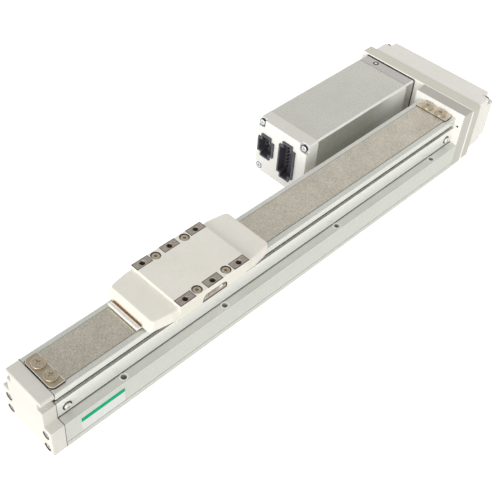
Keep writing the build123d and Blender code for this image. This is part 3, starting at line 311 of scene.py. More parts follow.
@dataclass(frozen=True)
class Finish:
    """Surface with two mottled shades, an uneven roughness and a fine relief.

    The mottle mixes the shades, and the relief's own pattern shows in them too where speckle is
    above zero. The sheen spreads the roughness over its range. Metals keep the shader's own IOR.
    """

    name: str
    light: str
    dark: str
    metallic: float = 0.0
    roughness: float = 0.5
    mottle: Cloud = Cloud(24.0, 0.25, 5.0)
    mottle_range: Pair = (0.0, 1.0)
    speckle: float = 0.0
    zones: tuple[Zone, ...] = ()
    grain: float = 0.0
    sheen: Cloud = Cloud(6.0)
    sheen_range: Pair = (-0.05, 0.05)
    relief: Cloud = Cloud(0.5)
    relief_mm: float = 0.005
    edge_mm: float = 0.3
    ior: float | None = None
    gloss: float = 0.5
    coat: float = 0.0
    coat_roughness: float = 0.25

    def patterns(self, surface: SurfaceTree) -> dict[str, Socket]:
        """Draws the patterns.

        Args:
            surface: the material's tree.

        Returns:
            The patterns, by the shader input that takes them.
        """
        relief = surface.cloud(self.relief)
        factor = surface.cloud(self.mottle, *self.mottle_range)
        if self.speckle:
            sum_up = {"operation": "MULTIPLY_ADD", "use_clamp": True, 1: self.speckle}
            factor = surface.add("ShaderNodeMath", sum_up, {0: relief, 2: factor}).outputs[0]
        colour = surface.tint(factor, self.light, self.dark)
        for zone in self.zones:
            colour = surface.cover(surface.zone(zone), zone.share, colour, zone.shade)
        low, high = self.sheen_range
        return {
            "Base Color": surface.grain(colour, self.grain) if self.grain else colour,
            "Roughness": surface.cloud(self.sheen, self.roughness + low, self.roughness + high),
            "Normal": surface.relief(relief, self.relief_mm, surface.rounded_edges(self.edge_mm)),
        }

    def build(self) -> bpy.types.Material:
        """Makes the material.

        Returns:
            The material.
        """
        surface = SurfaceTree(self.name)
        settings = {
            "Metallic": self.metallic, "Specular IOR Level": self.gloss,
            "Coat Weight": self.coat, "Coat Roughness": self.coat_roughness,
        }
        if self.ior:
            settings["IOR"] = self.ior
        return surface.finish(settings, self.patterns(surface))


@dataclass(frozen=True)
class DrawnMetal(Finish):
    """Metal with fine straight lines along X: extruded, rolled or ground along its length.

    The lines give a soft streak across every reflection. Real ones are about 0.05 mm apart, too fine
    to show, so they are drawn 0.5 mm apart or more.
    """

    mottle: Cloud = Cloud(22.0, 0.3, 5.0)
    grain: float = 0.05
    sheen: Cloud = Cloud(1.0, length=120.0)
    sheen_range: Pair = (-0.05, 0.06)
    relief: Cloud = Cloud(0.5, detail=2.0, length=120.0)
    relief_mm: float = 0.0015


@dataclass(frozen=True)
class ChannelExtrusion(DrawnMetal):
    """Drawn metal of the body, with painted light and shade: walls painted brighter, flanks darker, and black
    lines painted as shade in the corners and slots.
    """

    zones: tuple[Zone, ...] = (
        # Painted light: the channel walls' outer faces brighter
        Zone("#F2F3ED", across_mm=(19.3, 19.7), height_mm=(26.0, 40.8)),
        # Painted shade: the flanks darker
        Zone("#CFD0C9", across_mm=(26.6, 27.4), height_mm=(-1.0, 25.0)),
        # Painted shade: black lines in the corner at each wall's foot, deep in the slot under the lid and at
        # the wall's top edge
        Zone("#181A18", 0.95, across_mm=(19.2, 20.1), height_mm=(25.1, 26.0)),
        Zone("#181A18", 0.9, across_mm=(15.9, 17.5), height_mm=(40.6, 41.4)),
        Zone("#181A18", 0.7, across_mm=(19.0, 19.8), height_mm=(40.6, 41.1)),
    )


@dataclass(frozen=True)
class SpeckledStrip(Finish):
    """Cold-rolled stainless strip, worn matt by the scraper: brown-grey with a salt-and-pepper grain."""

    mottle: Cloud = Cloud(16.0, 0.25)
    mottle_range: Pair = (-0.1, 0.2)
    speckle: float = 0.9
    sheen: Cloud = Cloud(0.6, length=40.0)
    sheen_range: Pair = (-0.06, 0.08)
    relief: Cloud = Cloud(0.6, 0.22, 1.0)
    relief_mm: float = 0.004
    edge_mm: float = 0.1


@dataclass(frozen=True)
class FlakedCoat(Finish):
    """Satin coat full of fine metal flakes: even from afar, softly sparkling close up.

    Real flakes are about 0.05 mm across, too fine to show, so they are drawn 0.4 mm across.
    """

    mottle: Cloud = Cloud(28.0, 0.25)
    mottle_range: Pair = (-0.15, 0.15)
    speckle: float = 1.0
    grain: float = 0.1
    sheen: Cloud = Cloud(0.8)
    sheen_range: Pair = (-0.05, 0.07)
    relief: Cloud = Cloud(0.4, 0.3, 2.0)
    relief_mm: float = 0.003
    edge_mm: float = 0.5


@dataclass(frozen=True)
class PaintedLightCoat(FlakedCoat):
    """Flaked coat with painted light: what looks along -Y is painted paler and less metallic towards its far
    end.
    """

    # Where the painted light starts and where it is full along X, then its colour and metallic
    lit_side_mm: Pair = (160.0, 212.0)
    lit_side_shade: str = "#FFFFFA"
    lit_side_metallic: float = 0.1

    def patterns(self, surface: SurfaceTree) -> dict[str, Socket]:
        """Paints light on the side that looks along -Y.

        Args:
            surface: the material's tree.

        Returns:
            The patterns, by the shader input that takes them.
        """
        links = super().patterns(surface)
        lit_side = surface.both(surface.rise("X", *self.lit_side_mm), surface.facing("Y"))
        ends = {3: self.metallic, 4: self.lit_side_metallic}
        links["Base Color"] = surface.cover(lit_side, 1.0, links["Base Color"], self.lit_side_shade)
        links["Metallic"] = surface.add("ShaderNodeMapRange", ends, {0: lit_side}).outputs[0]
        return links


@dataclass(frozen=True)
class EnamelCasting(Finish):
    """Aluminium casting under baked enamel: an even satin coat with a faint orange peel."""

    roughness: float = 0.42
    mottle: Cloud = Cloud(30.0, 0.25, 5.0)
    grain: float = 0.035
    sheen: Cloud = Cloud(9.0)
    relief: Cloud = Cloud(1.4, detail=1.0)
    relief_mm: float = 0.006
    edge_mm: float = 0.5
    ior: float | None = 1.5
    coat: float = 0.15


@dataclass(frozen=True)
class PaintedLightCasting(EnamelCasting):
    """Enamelled casting with painted light and shade: its front, looking against X, is painted bright, and
    its open side, looking against Y, gets a shade of its own.
    """

    # Painted light on the front and painted shade on the open side
    zones: tuple[Zone, ...] = (Zone("#FAF9F5", against="X"), Zone("#C6C4B8", against="Y"))


@dataclass(frozen=True)
class MouldedResin(Finish):
    """Resin moulded in a spark-eroded tool: a fine even grain that breaks up the highlights."""

    grain: float = 0.035
    sheen_range: Pair = (-0.04, 0.06)
    relief: Cloud = Cloud(0.45, detail=2.0)
    relief_mm: float = 0.008
    edge_mm: float = 0.6
    ior: float | None = 1.46


@dataclass(frozen=True)
class MachinedSteel(Finish):
    """Turned or milled steel under thin plating: tiny random facets and darker handling marks."""

    metallic: float = 1.0
    roughness: float = 0.32
    mottle: Cloud = Cloud(3.0, 0.22, 4.0)
    sheen: Cloud = Cloud(1.2)
    sheen_range: Pair = (-0.06, 0.1)
    relief: Cloud = Cloud(0.35)
    relief_mm: float = 0.004
    edge_mm: float = 0.2


@dataclass(frozen=True)
class SoftMatter(Finish):
    """Rubber, felt or laminate: no gloss to speak of and a fibrous or dusty grain."""

    roughness: float = 0.8
    mottle: Cloud = Cloud(1.5, 0.25)
    sheen: Cloud = Cloud(2.0)
    sheen_range: Pair = (-0.08, 0.08)
    relief: Cloud = Cloud(0.5, detail=4.0)
    relief_mm: float = 0.03
    edge_mm: float = 0.2
    ior: float | None = 1.45


class Finishes:
    """Every finish on the actuator."""

    # Satin anodised extrusion: bright, slightly green-grey, streaked along its length, with painted light and
    # shade in zones
    anodised = ChannelExtrusion("anodised_extrusion", "#E4E5DF", "#D9DAD4", 0.35, 0.36)
    # Anodised lid strip: as the body, a little smoother
    lid = DrawnMetal("anodised_lid", "#E6E7DF", "#DADBD3", 0.45, 0.32)
    # Rolled stainless band, brown-grey and speckled
    band = SpeckledStrip("rolled_stainless_band", "#F2EBDB", "#B4AE9F", 0.92, 0.34)
    # Stamped stainless clamps: the same metal, bare and a little browner; the rear clamp is painted lighter
    # as painted highlight
    clamp = MachinedSteel("stamped_stainless_clamp", "#CEC1A9", "#B3A58B", 0.8, 0.34)
    rear_clamp_highlighted = MachinedSteel("stamped_stainless_rear_clamp_painted_highlight", "#E6DBC6", "#CBBFA8", 0.7, 0.3)
    # Cream enamel on the cast end parts
    end_enamel = EnamelCasting("cream_enamel_end_cover", "#E7E4DC", "#E1DED6")
    # Painted light and shade: the drive plate's front painted brighter and its open side darker
    plate_enamel = PaintedLightCasting(
        "cream_enamel_drive_plate", "#E4E1D3", "#DDDACB",
        zones=(Zone("#FDFCF7", against="X"), Zone("#C8C5B8", against="Y")),
    )
    saddle_enamel = EnamelCasting("white_enamel_saddle", "#FAF6EC", "#F4F0E5")
    # Enamelled bracket with painted light: its front face painted bright, its top and open side painted
    # darker as shade
    bracket_enamel = PaintedLightCasting("enamel_bracket_painted_light", "#C6C4B8", "#BEBCB0")
    # Moulded cream resin of the table cover and the pulley cover
    cover_resin = MouldedResin("moulded_cream_resin", "#FAF6EC", "#F3EFE4")
    pulley_resin = MouldedResin("moulded_pulley_cover_resin", "#FCF9F2", "#F6F3EA")
    # Die-cast motor cap, enamelled, with painted light: its front and open side painted brighter than its top
    cap_enamel = PaintedLightCasting(
        "enamelled_motor_cap", "#EBE9E1", "#E5E3DB",
        zones=(Zone("#FEFDF8", against="X"), Zone("#F8F6F0", against="Y")),
    )
    # Duller resin of the return caps, brighter resin of the scraper bar
    inner_resin = MouldedResin("moulded_return_cap_resin", "#D8D5CB", "#C8C5BA")
    scraper_resin = MouldedResin("moulded_scraper_resin", "#FDFCF8", "#F7F5EF", edge_mm=0.3)
    # Satin flaked coat over the motor's steel stack: mirrors what lies beside it, and its side towards the
    # body is painted paler towards the flange as painted light
    motor_coat = PaintedLightCoat("flaked_coat_motor_stack", "#E4E3DA", "#CCCBC1", 0.75, 0.3)
    # Die-cast motor flange, tumbled bright
    die_cast = FlakedCoat("tumbled_die_cast_flange", "#D2CFCA", "#C6C3BE", 0.85, 0.3, relief_mm=0.001)
    # Milled and ground steel of the table, dull brown-grey under its rust-proof oil
    ground_steel = MachinedSteel("oiled_ground_steel", "#C6BDB1", "#A59C90", 0.8, 0.4)
    # Bearing steel that mirrors its surroundings, and the rolled thread's burnished steel
    bright_steel = MachinedSteel("polished_bearing_steel", "#D2D2D0", "#BDBDBB", 1.0, 0.22)
    thread_steel = MachinedSteel("rolled_screw_thread", "#C9C6BF", "#A9A59C", 1.0, 0.25)
    # Nickel-plated fasteners: warm white metal with dark sockets
    nickel = MachinedSteel("nickel_plated_fastener", "#DACDB8", "#B7AA94", 0.9, 0.3)
    # Zinc-plated fasteners: cold white metal, glossy or milky
    bright_zinc = MachinedSteel("bright_zinc_fastener", "#F0F4F6", "#CDD4D9", 0.75, 0.25)
    white_zinc = MachinedSteel("white_zinc_fastener", "#F6F4F0", "#D9D6D1", 0.4, 0.35)
    # Brown felt and black rubber where the carriage wipes and stops; the same black also makes the frames and
    # strips painted as shade, and fills the flange gap
    felt = SoftMatter("pressed_brown_felt", "#A87A3C", "#85581F")
    rubber_and_shade = SoftMatter("moulded_black_rubber_and_painted_shade", "#2A2826", "#1C1B1A", relief_mm=0.01)
    # Varnished board of the encoder, a dull green
    laminate = SoftMatter(
        "green_circuit_laminate", "#2E6B47", "#24573A", roughness=0.45, relief_mm=0.005
    )
    # Glass-filled connector resin, nearly black with a blue cast
    connector = MouldedResin(
        "glass_filled_connector_resin", "#5C5C64", "#4C4C54", roughness=0.42, edge_mm=0.25
    )
    # Dim yellow of the contacts, painted dark as the shade inside the connectors, and of the grease port
    gold = MachinedSteel("gold_plated_contact", "#6E5A33", "#57462A", 1.0, 0.4, edge_mm=0.1)
    brass = MachinedSteel("turned_brass", "#B08A58", "#8E6C42", 0.9, 0.35, edge_mm=0.1)
    # Bare white cut of a drill or a deburring tool, also used as painted highlight: real bare metal on the
    # ledge holes' rims, only highlight on the clamps, plate and motor
    bare_cut_and_highlight = MachinedSteel("bare_cut_and_painted_highlight", "#FCFCFA", "#F2F2F0", 0.2, 0.4, edge_mm=0.1)
    # Dark fasteners and collars, brown under oil or black from their oxide bath; the same two also make the
    # sleeves, rings and hole marks painted as shade
    dark_steel_and_shade = MachinedSteel("oiled_dark_steel_and_painted_shade", "#6B6257", "#4E463D", 0.8, 0.45, edge_mm=0.1)
    black_oxide_and_shade = MachinedSteel("black_oxide_steel_and_painted_shade", "#34312E", "#211F1D", 0.8, 0.4, edge_mm=0.1)
    # Printed polyester film of the type plate, left blank, with a green band along its top
    film = MouldedResin(
        "polyester_type_plate", "#ECEDEB", "#E5E6E4", roughness=0.35, relief_mm=0.002, edge_mm=0.1
    )
    green_ink = MouldedResin(
        "green_printed_band", "#00B680", "#00AC77", relief_mm=0.002, gloss=0.1, edge_mm=0.1
    )


@cache
def material_of(finish: Finish) -> bpy.types.Material:
    """Builds a finish's material the first time it is asked for."""
    return finish.build()


def dress(finish: Finish, *nodes: str) -> None:
    """Gives CAD nodes their finish.

    Args:
        finish: the finish to give.
        nodes: names of the CAD nodes.
    """
    material = material_of(finish)
    for name in nodes:
        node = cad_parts[name]
        if not node.material_slots:
            node.data.materials.append(material)
        for slot in node.material_slots:
            slot.material = material
        LOG.info("dressed %s in %s", name, finish.name)


def add_piece(
    name: str, shells: Iterable[Shell], finish: Finish, body: Body, smooth: bool = False
) -> bpy.types.Object:
    """Makes a piece that rides on a body.

    Args:
        name: the piece's name.
        shells: its shells, in millimetres in the part's frame.
        finish: its finish.
        body: the body that carries it.
        smooth: whether its faces shade smoothly.

    Returns:
        The new object.
    """
    mesh = bmesh.new()
    for rings, closed in shells:
        skin_rings(mesh, rings, closed)
    bmesh.ops.recalc_face_normals(mesh, faces=mesh.faces)
    for face in mesh.faces:
        face.smooth = smooth
    data = bpy.data.meshes.new(name)
    mesh.to_mesh(data)
    mesh.free()
    data.materials.append(material_of(finish))
    piece = bpy.data.objects.new(name, data)
    bpy.context.scene.collection.objects.link(piece)
    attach(piece, body.value)
    LOG.info("added %s on %s", name, body.value)
    return piece


def node_box(name: str) -> tuple[Vector, Vector]:
    """Middle and half size of a CAD node's box, in millimetres."""
    low, high = (Vector(corner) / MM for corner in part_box(name))
    return (low + high) / 2, (high - low) / 2


def rounded_outline(
    centre: Vector, along: Vector, up: Vector, radius: float | Sequence[float], steps: int = 5
) -> Ring:
    """Draws a rectangle with rounded corners.

    Args:
        centre: the rectangle's middle.
        along: half of its first side, from the middle.
        up: half of its second side, from the middle.
        radius: the radius of its corners, or of each corner from the one at along and minus up.
        steps: segments in each corner.

    Returns:
        Its points, anticlockwise when seen against the two sides' cross product.
    """
    across, rise = along.normalized(), up.normalized()
    radii = [radius] * 4 if isinstance(radius, float) else radius
    points = []
    for quarter, (sideways, upwards) in enumerate(((1, -1), (1, 1), (-1, 1), (-1, -1))):
        bend = radii[quarter]
        corner = centre + (along - across * bend) * sideways + (up - rise * bend) * upwards
        for step in range(steps + 1):
            angle = math.radians(90 * (quarter - 1) + 90 * step / steps)
            points.append(corner + (across * math.cos(angle) + rise * math.sin(angle)) * bend)
    return points


def level_outline(centre: Vector, half_x: float, half_y: float, radius: float | Sequence[float]) -> Ring:
    """Draws a level rectangle with rounded corners."""
    return rounded_outline(centre, Vector((half_x, 0, 0)), Vector((0, half_y, 0)), radius)


def inset_outline(points: Ring, distance: float) -> Ring:
    """Moves a right-angled outline in a plane across X inwards.

    Args:
        points: its corners, anticlockwise when seen along -X.
        distance: how far each side moves.

    Returns:
        The moved corners.
    """
    moved = []
    for index, point in enumerate(points):
        before = (point - points[index - 1]).normalized()
        after = (points[(index + 1) % len(points)] - point).normalized()
        moved.append(point + Vector((0, -before.z - after.z, before.y + after.y)) * distance)
    return moved


def skin_rings(mesh: bmesh.types.BMesh, rings: list[Ring], closed: bool) -> None:
    """Skins a row of rings that have the same number of points.

    Args:
        mesh: the mesh that gets the skin, in metres.
        rings: the rings in order, in millimetres.
        closed: whether the last ring joins the first, instead of both ends being capped.
    """
    made = [[mesh.verts.new(point * MM) for point in ring] for ring in rings]
    pairs = list(zip(made, made[1:]))
    if closed:
        pairs.append((made[-1], made[0]))
    for lower, upper in pairs:
        for index in range(len(lower)):
            following = (index + 1) % len(lower)
            mesh.faces.new((lower[index], lower[following], upper[following], upper[index]))
    if not closed:
        mesh.faces.new(made[-1])
        mesh.faces.new(list(reversed(made[0])))


def slab(centre: Vector, along: Vector, up: Vector, thickness: float, radius: float) -> Shell:
    """Shapes a thin slab with rounded corners and a small bevel.

    Args:
        centre: the middle of its hidden face.
        along: half of its first side.
        up: half of its second side.
        thickness: how far it rises, along the two sides' cross product.
        radius: the radius of its corners.

    Returns:
        The slab's shell.
    """
    out = along.cross(up).normalized()
    bevel = thickness * BEVEL_SHARE
    rings = []
    for height, inset in ((0.0, 0.0), (thickness - bevel, 0.0), (thickness, bevel)):
        shrunk = [half - half.normalized() * inset for half in (along, up)]
        rings.append(rounded_outline(centre + out * height, *shrunk, radius - inset))
    return rings, False


def flat_frame(outer: Ring, inner: Ring, depth: Vector) -> Shell:
    """Shapes a flat frame between two outlines that have the same number of points."""
    lowered = [[point + depth for point in ring] for ring in (outer, inner)]
    return [outer, *lowered, inner], True


def turned(
    profile: Sequence[Pair], start: Triple | Vector, direction: Triple, closed: bool = True
) -> Shell:
    """Turns a profile about a line.

    Args:
        profile: each ring's distance along the line and its radius.
        start: where the line starts.
        direction: where it points.
        closed: whether the profile is a loop, as of a ring or a tube.

    Returns:
        The turned shape's shell.
    """
    place = Matrix.Translation(start) @ Vector(direction).to_track_quat("Z", "X").to_matrix().to_4x4()
    angles = [2 * math.pi * step / TURNED_STEPS for step in range(TURNED_STEPS)]
    rings = [
        [place @ Vector((radius * math.cos(angle), radius * math.sin(angle), distance)) for angle in angles]
        for distance, radius in profile
    ]
    return rings, closed


def tube(outer: float, inner: float, low: float, high: float) -> Profile:
    """Profile of a tube, from its two radii and its ends' distances along the line."""
    return ((low, outer), (high, outer), (high, inner), (low, inner))


@dataclass
class Studio:
    """White table and backdrop, one broad soft light beside the camera, and the camera."""

    camera_place_mm: Triple = (-389.0, -318.7, 530.9)
    camera_aim_mm: Triple = (-35.9, 34.0, 30.0)
    camera_roll_deg: float = 2.4
    focal_length_px: float = 903.8
    optical_centre_px: Pair = (203.5, 239.3)
    sensor_mm: float = 36.0
    nearest_m: float = 0.01
    table_m: float = 6.0
    table_drop_mm: float = 0.4
    table_colour: str = "#F4F4F2"
    table_glow: float = 0.6
    key_direction: Triple = (-0.92, -0.33, 0.22)
    key_distance_m: float = 8.0
    key_width_m: float = 6.5
    key_height_m: float = 3.2
    key_power_w: float = 325.0
    key_colour: str = "#FFFDF8"
    white: str = "#FFFFFF"
    ceiling_level: float = 0.42
    horizon_level: float = 1.0
    horizon_rise: Pair = (0.35, 0.95)

    def build(self) -> None:
        """Makes the table, the light, the world and the camera."""
        self._lay_table()
        self._hang_light()
        self._light_world()
        self._place_camera()

    def _lay_table(self) -> None:
        """Lays the white table. It glows only for the camera and for mirrors, so it keeps the shadow."""
        mesh = bmesh.new()
        bmesh.ops.create_grid(mesh, x_segments=1, y_segments=1, size=self.table_m / 2)
        data = bpy.data.meshes.new("table")
        mesh.to_mesh(data)
        mesh.free()
        table = bpy.data.objects.new("table", data)
        table.location.z = -self.table_drop_mm * MM
        bpy.context.scene.collection.objects.link(table)
        material = bpy.data.materials.new("white_table")
        material.use_nodes = True
        material.node_tree.nodes.clear()
        add = partial(add_node, material.node_tree)
        path = add("ShaderNodeLightPath").outputs
        shown = path["Is Camera Ray"]
        for ray in ("Is Glossy Ray", "Is Transmission Ray"):
            shown = add("ShaderNodeMath", {"operation": "MAXIMUM"}, {0: shown, 1: path[ray]}).outputs[0]
        glow = add("ShaderNodeMath", {"operation": "MULTIPLY", 1: self.table_glow}, {0: shown})
        cloth = add("ShaderNodeBsdfDiffuse", {"Color": hex_to_linear(self.table_colour)})
        light = add("ShaderNodeEmission", {"Color": hex_to_linear(self.white)}, {"Strength": glow.outputs[0]})
        both = add("ShaderNodeAddShader", {}, {0: cloth.outputs[0], 1: light.outputs[0]})
        add("ShaderNodeOutputMaterial", {}, {"Surface": both.outputs[0]})
        data.materials.append(material)

    def _hang_light(self) -> None:
        """Hangs one broad soft light low on the camera's left."""
        lamp = bpy.data.lights.new("key", "AREA")
        lamp.shape = "RECTANGLE"
        lamp.size = self.key_width_m
        lamp.size_y = self.key_height_m
        lamp.energy = self.key_power_w
        lamp.color = hex_to_linear(self.key_colour)[:3]
        light = bpy.data.objects.new("key", lamp)
        direction = Vector(self.key_direction).normalized()
        light.location = direction * self.key_distance_m
        light.rotation_euler = direction.to_track_quat("Z", "Y").to_euler()
        bpy.context.scene.collection.objects.link(light)

    def _light_world(self) -> None:
        """Surrounds the table with a white horizon under a dimmer ceiling; the camera sees plain white."""
        world = bpy.data.worlds.new("studio")
        bpy.context.scene.world = world
        world.use_nodes = True
        world.node_tree.nodes.clear()
        add = partial(add_node, world.node_tree)
        direction = add("ShaderNodeTexCoord").outputs["Generated"]
        split = add("ShaderNodeSeparateXYZ", {}, {0: direction})
        low, high = self.horizon_rise
        level = add(
            "ShaderNodeMapRange",
            {"interpolation_type": "SMOOTHSTEP", "From Min": low, "From Max": high,
             "To Min": self.horizon_level, "To Max": self.ceiling_level},
            {"Value": split.outputs["Z"]},
        )
        seen = add("ShaderNodeLightPath").outputs["Is Camera Ray"]
        strength = add("ShaderNodeMath", {"operation": "MAXIMUM"}, {0: level.outputs[0], 1: seen}).outputs[0]
        background = add("ShaderNodeBackground", {"Color": hex_to_linear(self.white)}, {"Strength": strength})
        add("ShaderNodeOutputWorld", {}, {"Surface": background.outputs[0]})

    def _place_camera(self) -> None:
        """Puts the camera where the photograph was taken from."""
        data = bpy.data.cameras.new("camera")
        data.sensor_fit = "HORIZONTAL"
        data.sensor_width = self.sensor_mm
        data.lens = self.focal_length_px * self.sensor_mm / PICTURE_SIZE
        data.shift_x = 0.5 - self.optical_centre_px[0] / PICTURE_SIZE
        data.shift_y = self.optical_centre_px[1] / PICTURE_SIZE - 0.5
        data.clip_start = self.nearest_m
        place = Vector(self.camera_place_mm) * MM
        aim = Vector(self.camera_aim_mm) * MM
        turn = (aim - place).to_track_quat("-Z", "Y").to_matrix().to_4x4()
        roll = Matrix.Rotation(math.radians(self.camera_roll_deg), 4, "Z")
        camera = bpy.data.objects.new("camera", data)
        camera.matrix_world = Matrix.Translation(place) @ turn @ roll
        bpy.context.scene.collection.objects.link(camera)
        bpy.context.scene.camera = camera


@dataclass
class SliderBody:
    """Extruded body with its rails, lid, band, clamps, stops and front end cover."""

    plate_start_mm: float = 13.0
    plate_length_mm: float = 37.5
    plate_low_mm: float = 5.4
    plate_height_mm: float = 14.2
    plate_thickness_mm: float = 0.05
    plate_corner_mm: float = 0.8
    ink_height_mm: float = 4.2
    ink_thickness_mm: float = 0.01
    ink_corner_mm: float = 0.72
    hole_places_mm: tuple[float, ...] = (-164.4, -67.9, 58.4, 184.7)
    hole_row_mm: float = 23.0
    # Bright ring round each ledge hole: bare metal, partly a painted highlight
    rim_mm: Tube = (3.4, 2.3, 0.0, 0.03)
    ledge_height_mm: float = 25.3
    cover_outline_mm: tuple[Pair, ...] = (
        (27.0, 0.0), (27.0, 25.6), (19.8, 25.6), (19.8, 40.7), (14.7, 40.7), (14.7, 47.4), (19.5, 47.4),
        (19.5, 51.0),
    )
    # Black strip painted as shade in the joint between end cover and body
    joint_shade_thickness_mm: float = 0.45
    joint_shade_inset_mm: float = 0.12
    joint_shade_width_mm: float = 0.8
    clamp_corners_mm: tuple[tuple[str, tuple[float, ...]], ...] = (
        ("band_clamp_front", (1.0, 1.0, 4.0, 4.0)), ("band_clamp_rear", (4.0, 4.0, 1.0, 1.0)),
    )
    sharpest_mm: float = 0.1
    # Black frame painted as shade round each clamp, then white frame painted as highlight on its edge
    clamp_shade_growths_mm: Pair = (0.4, -0.1)
    clamp_shade_low_mm: float = 51.02
    clamp_shade_height_mm: float = 0.43
    clamp_highlight_growths_mm: Pair = (-0.02, -0.45)
    clamp_highlight_height_mm: float = 0.02
    end_face_mm: float = -229.0
    end_screw_side_mm: float = 20.85
    end_screw_rows_mm: Pair = (4.3, 18.0)
    # Dark sleeve painted as shade in each end cover screw's counterbore
    counterbore_shade_profile_mm: Profile = (
        (0.03, 3.5), (0.03, 3.05), (-2.0, 3.05), (-2.0, 3.1), (0.0, 3.1), (0.0, 3.5)
    )
    side_screw_mm: Triple = (209.2, 19.5, 31.6)
    # Dark ring painted as shade under each side screw's head
    side_screw_shade_mm: Tube = (3.75, 2.5, 0.0, 0.2)

    def build(self) -> None:
        """Dresses the body and adds its blank type plate, its ledge holes' rims partly painted as highlight,
        dark sleeves, rings, frames and a joint strip painted as shade, and white clamp edges painted as
        highlight.
        """
        dress(Finishes.anodised, "body_extrusion", "travel_stop_front", "travel_stop_rear")
        dress(Finishes.lid, "top_cover")
        dress(Finishes.band, "seal_band")
        dress(Finishes.clamp, "band_clamp_front")
        dress(Finishes.rear_clamp_highlighted, "band_clamp_rear")
        dress(Finishes.nickel, "band_clamp_screws")
        dress(Finishes.bright_zinc, "end_cover_screws")
        dress(Finishes.white_zinc, "side_screws")
        dress(Finishes.end_enamel, "end_cover")
        dress(Finishes.bright_steel, "guide_rail_motor_side", "guide_rail_open_side", "front_bearing")
        dress(Finishes.rubber_and_shade, "bumper_front", "bumper_rear")
        self._stick_type_plate()
        self._ream_holes()
        self._shade_end_cover_joint()
        self._paint_clamp_shade_and_highlight()
        self._shade_end_screw_counterbores()
        self._shade_side_screws()

    def _shade_side_screws(self) -> None:
        """Adds a dark ring under each side screw's head, as painted shade round it."""
        x, y, z = self.side_screw_mm
        profile = tube(*self.side_screw_shade_mm)
        shade_rings = [turned(profile, (end * x, side * y, z), (0, side, 0)) for end, side in CORNERS]
        add_piece("side_screw_painted_shade", shade_rings, Finishes.black_oxide_and_shade, Body.BASE)

    def _clamp_outline(self, name: str, radii: Sequence[float], grow: float, height: float) -> Ring:
        """Draws a band clamp's outline, grown and at a height.

        Args:
            name: the clamp's node.
            radii: the radii of its corners.
            grow: how far it grows.
            height: its height.

        Returns:
            Its points.
        """
        middle, half = node_box(name)
        grown = [max(radius + grow, self.sharpest_mm) for radius in radii]
        return level_outline(Vector((middle.x, middle.y, height)), half.x + grow, half.y + grow, grown)

    def _paint_clamp_shade_and_highlight(self) -> None:
        """Lays a black frame round each band clamp as painted shade, and a white frame on the clamp's edge as
        painted highlight.
        """
        shade_frames: list[Shell] = []
        edges: list[Shell] = []
        for name, radii in self.clamp_corners_mm:
            middle, half = node_box(name)
            for frames, low, rise, growths in (
                (shade_frames, self.clamp_shade_low_mm, self.clamp_shade_height_mm, self.clamp_shade_growths_mm),
                (edges, middle.z + half.z, self.clamp_highlight_height_mm, self.clamp_highlight_growths_mm),
            ):
                outlines = [self._clamp_outline(name, radii, grow, low) for grow in growths]
                frames.append(flat_frame(*outlines, Vector((0, 0, rise))))
        add_piece("clamp_painted_shade", shade_frames, Finishes.rubber_and_shade, Body.BASE)
        add_piece("clamp_painted_highlight", edges, Finishes.bare_cut_and_highlight, Body.BASE)

    def _shade_end_screw_counterbores(self) -> None:
        """Lines the counterbores of the end cover's screws with thin dark sleeves, as painted shade in the
        recesses.
        """
        shade_sleeves = [
            turned(self.counterbore_shade_profile_mm, (self.end_face_mm, side * self.end_screw_side_mm, row), (-1, 0, 0))
            for side, row in product(SIDES, self.end_screw_rows_mm)
        ]
        add_piece("end_screw_counterbore_shade", shade_sleeves, Finishes.dark_steel_and_shade, Body.BASE)

    def _stick_type_plate(self) -> None:
        """Sticks the blank type plate and its printed band on the body's open side."""
        middle, half = node_box("body_extrusion")
        along = Vector((self.plate_length_mm / 2, 0, 0))
        up = Vector((0, 0, self.plate_height_mm / 2))
        start = Vector((middle.x - half.x + self.plate_start_mm, middle.y - half.y, self.plate_low_mm))
        centre = start + along + up
        plate = slab(centre, along, up, self.plate_thickness_mm, self.plate_corner_mm)
        add_piece("type_plate", [plate], Finishes.film, Body.BASE)
        band_up = Vector((0, 0, self.ink_height_mm / 2))
        top = centre + up - band_up - Vector((0, self.plate_thickness_mm, 0))
        band = slab(top, along, band_up, self.ink_thickness_mm, self.ink_corner_mm)
        add_piece("type_plate_band", [band], Finishes.green_ink, Body.BASE)

    def _ream_holes(self) -> None:
        """Lays the bright ring that the deburring tool left round each hole in the ledges, painted near white
        as the highlight that this chamfer catches.
        """
        rims = [
            turned(tube(*self.rim_mm), (x, side * self.hole_row_mm, self.ledge_height_mm), (0, 0, 1))
            for x, side in product(self.hole_places_mm, SIDES)
        ]
        add_piece("ledge_hole_rims", rims, Finishes.bare_cut_and_highlight, Body.BASE)

    def _shade_end_cover_joint(self) -> None:
        """Lays a thin black strip in the joint between the end cover and the body, as painted shade of the
        gap.
        """
        middle, half = node_box("body_extrusion")
        side = [Vector((middle.x - half.x, y, z)) for y, z in self.cover_outline_mm]
        outline = side + [Vector((point.x, -point.y, point.z)) for point in reversed(side)]
        insets = (self.joint_shade_inset_mm, self.joint_shade_inset_mm + self.joint_shade_width_mm)
        rims = [inset_outline(outline, inset) for inset in insets]
        joint_shade = flat_frame(*rims, Vector((-self.joint_shade_thickness_mm, 0, 0)))
        add_piece("end_cover_joint_shade", [joint_shade], Finishes.rubber_and_shade, Body.BASE)


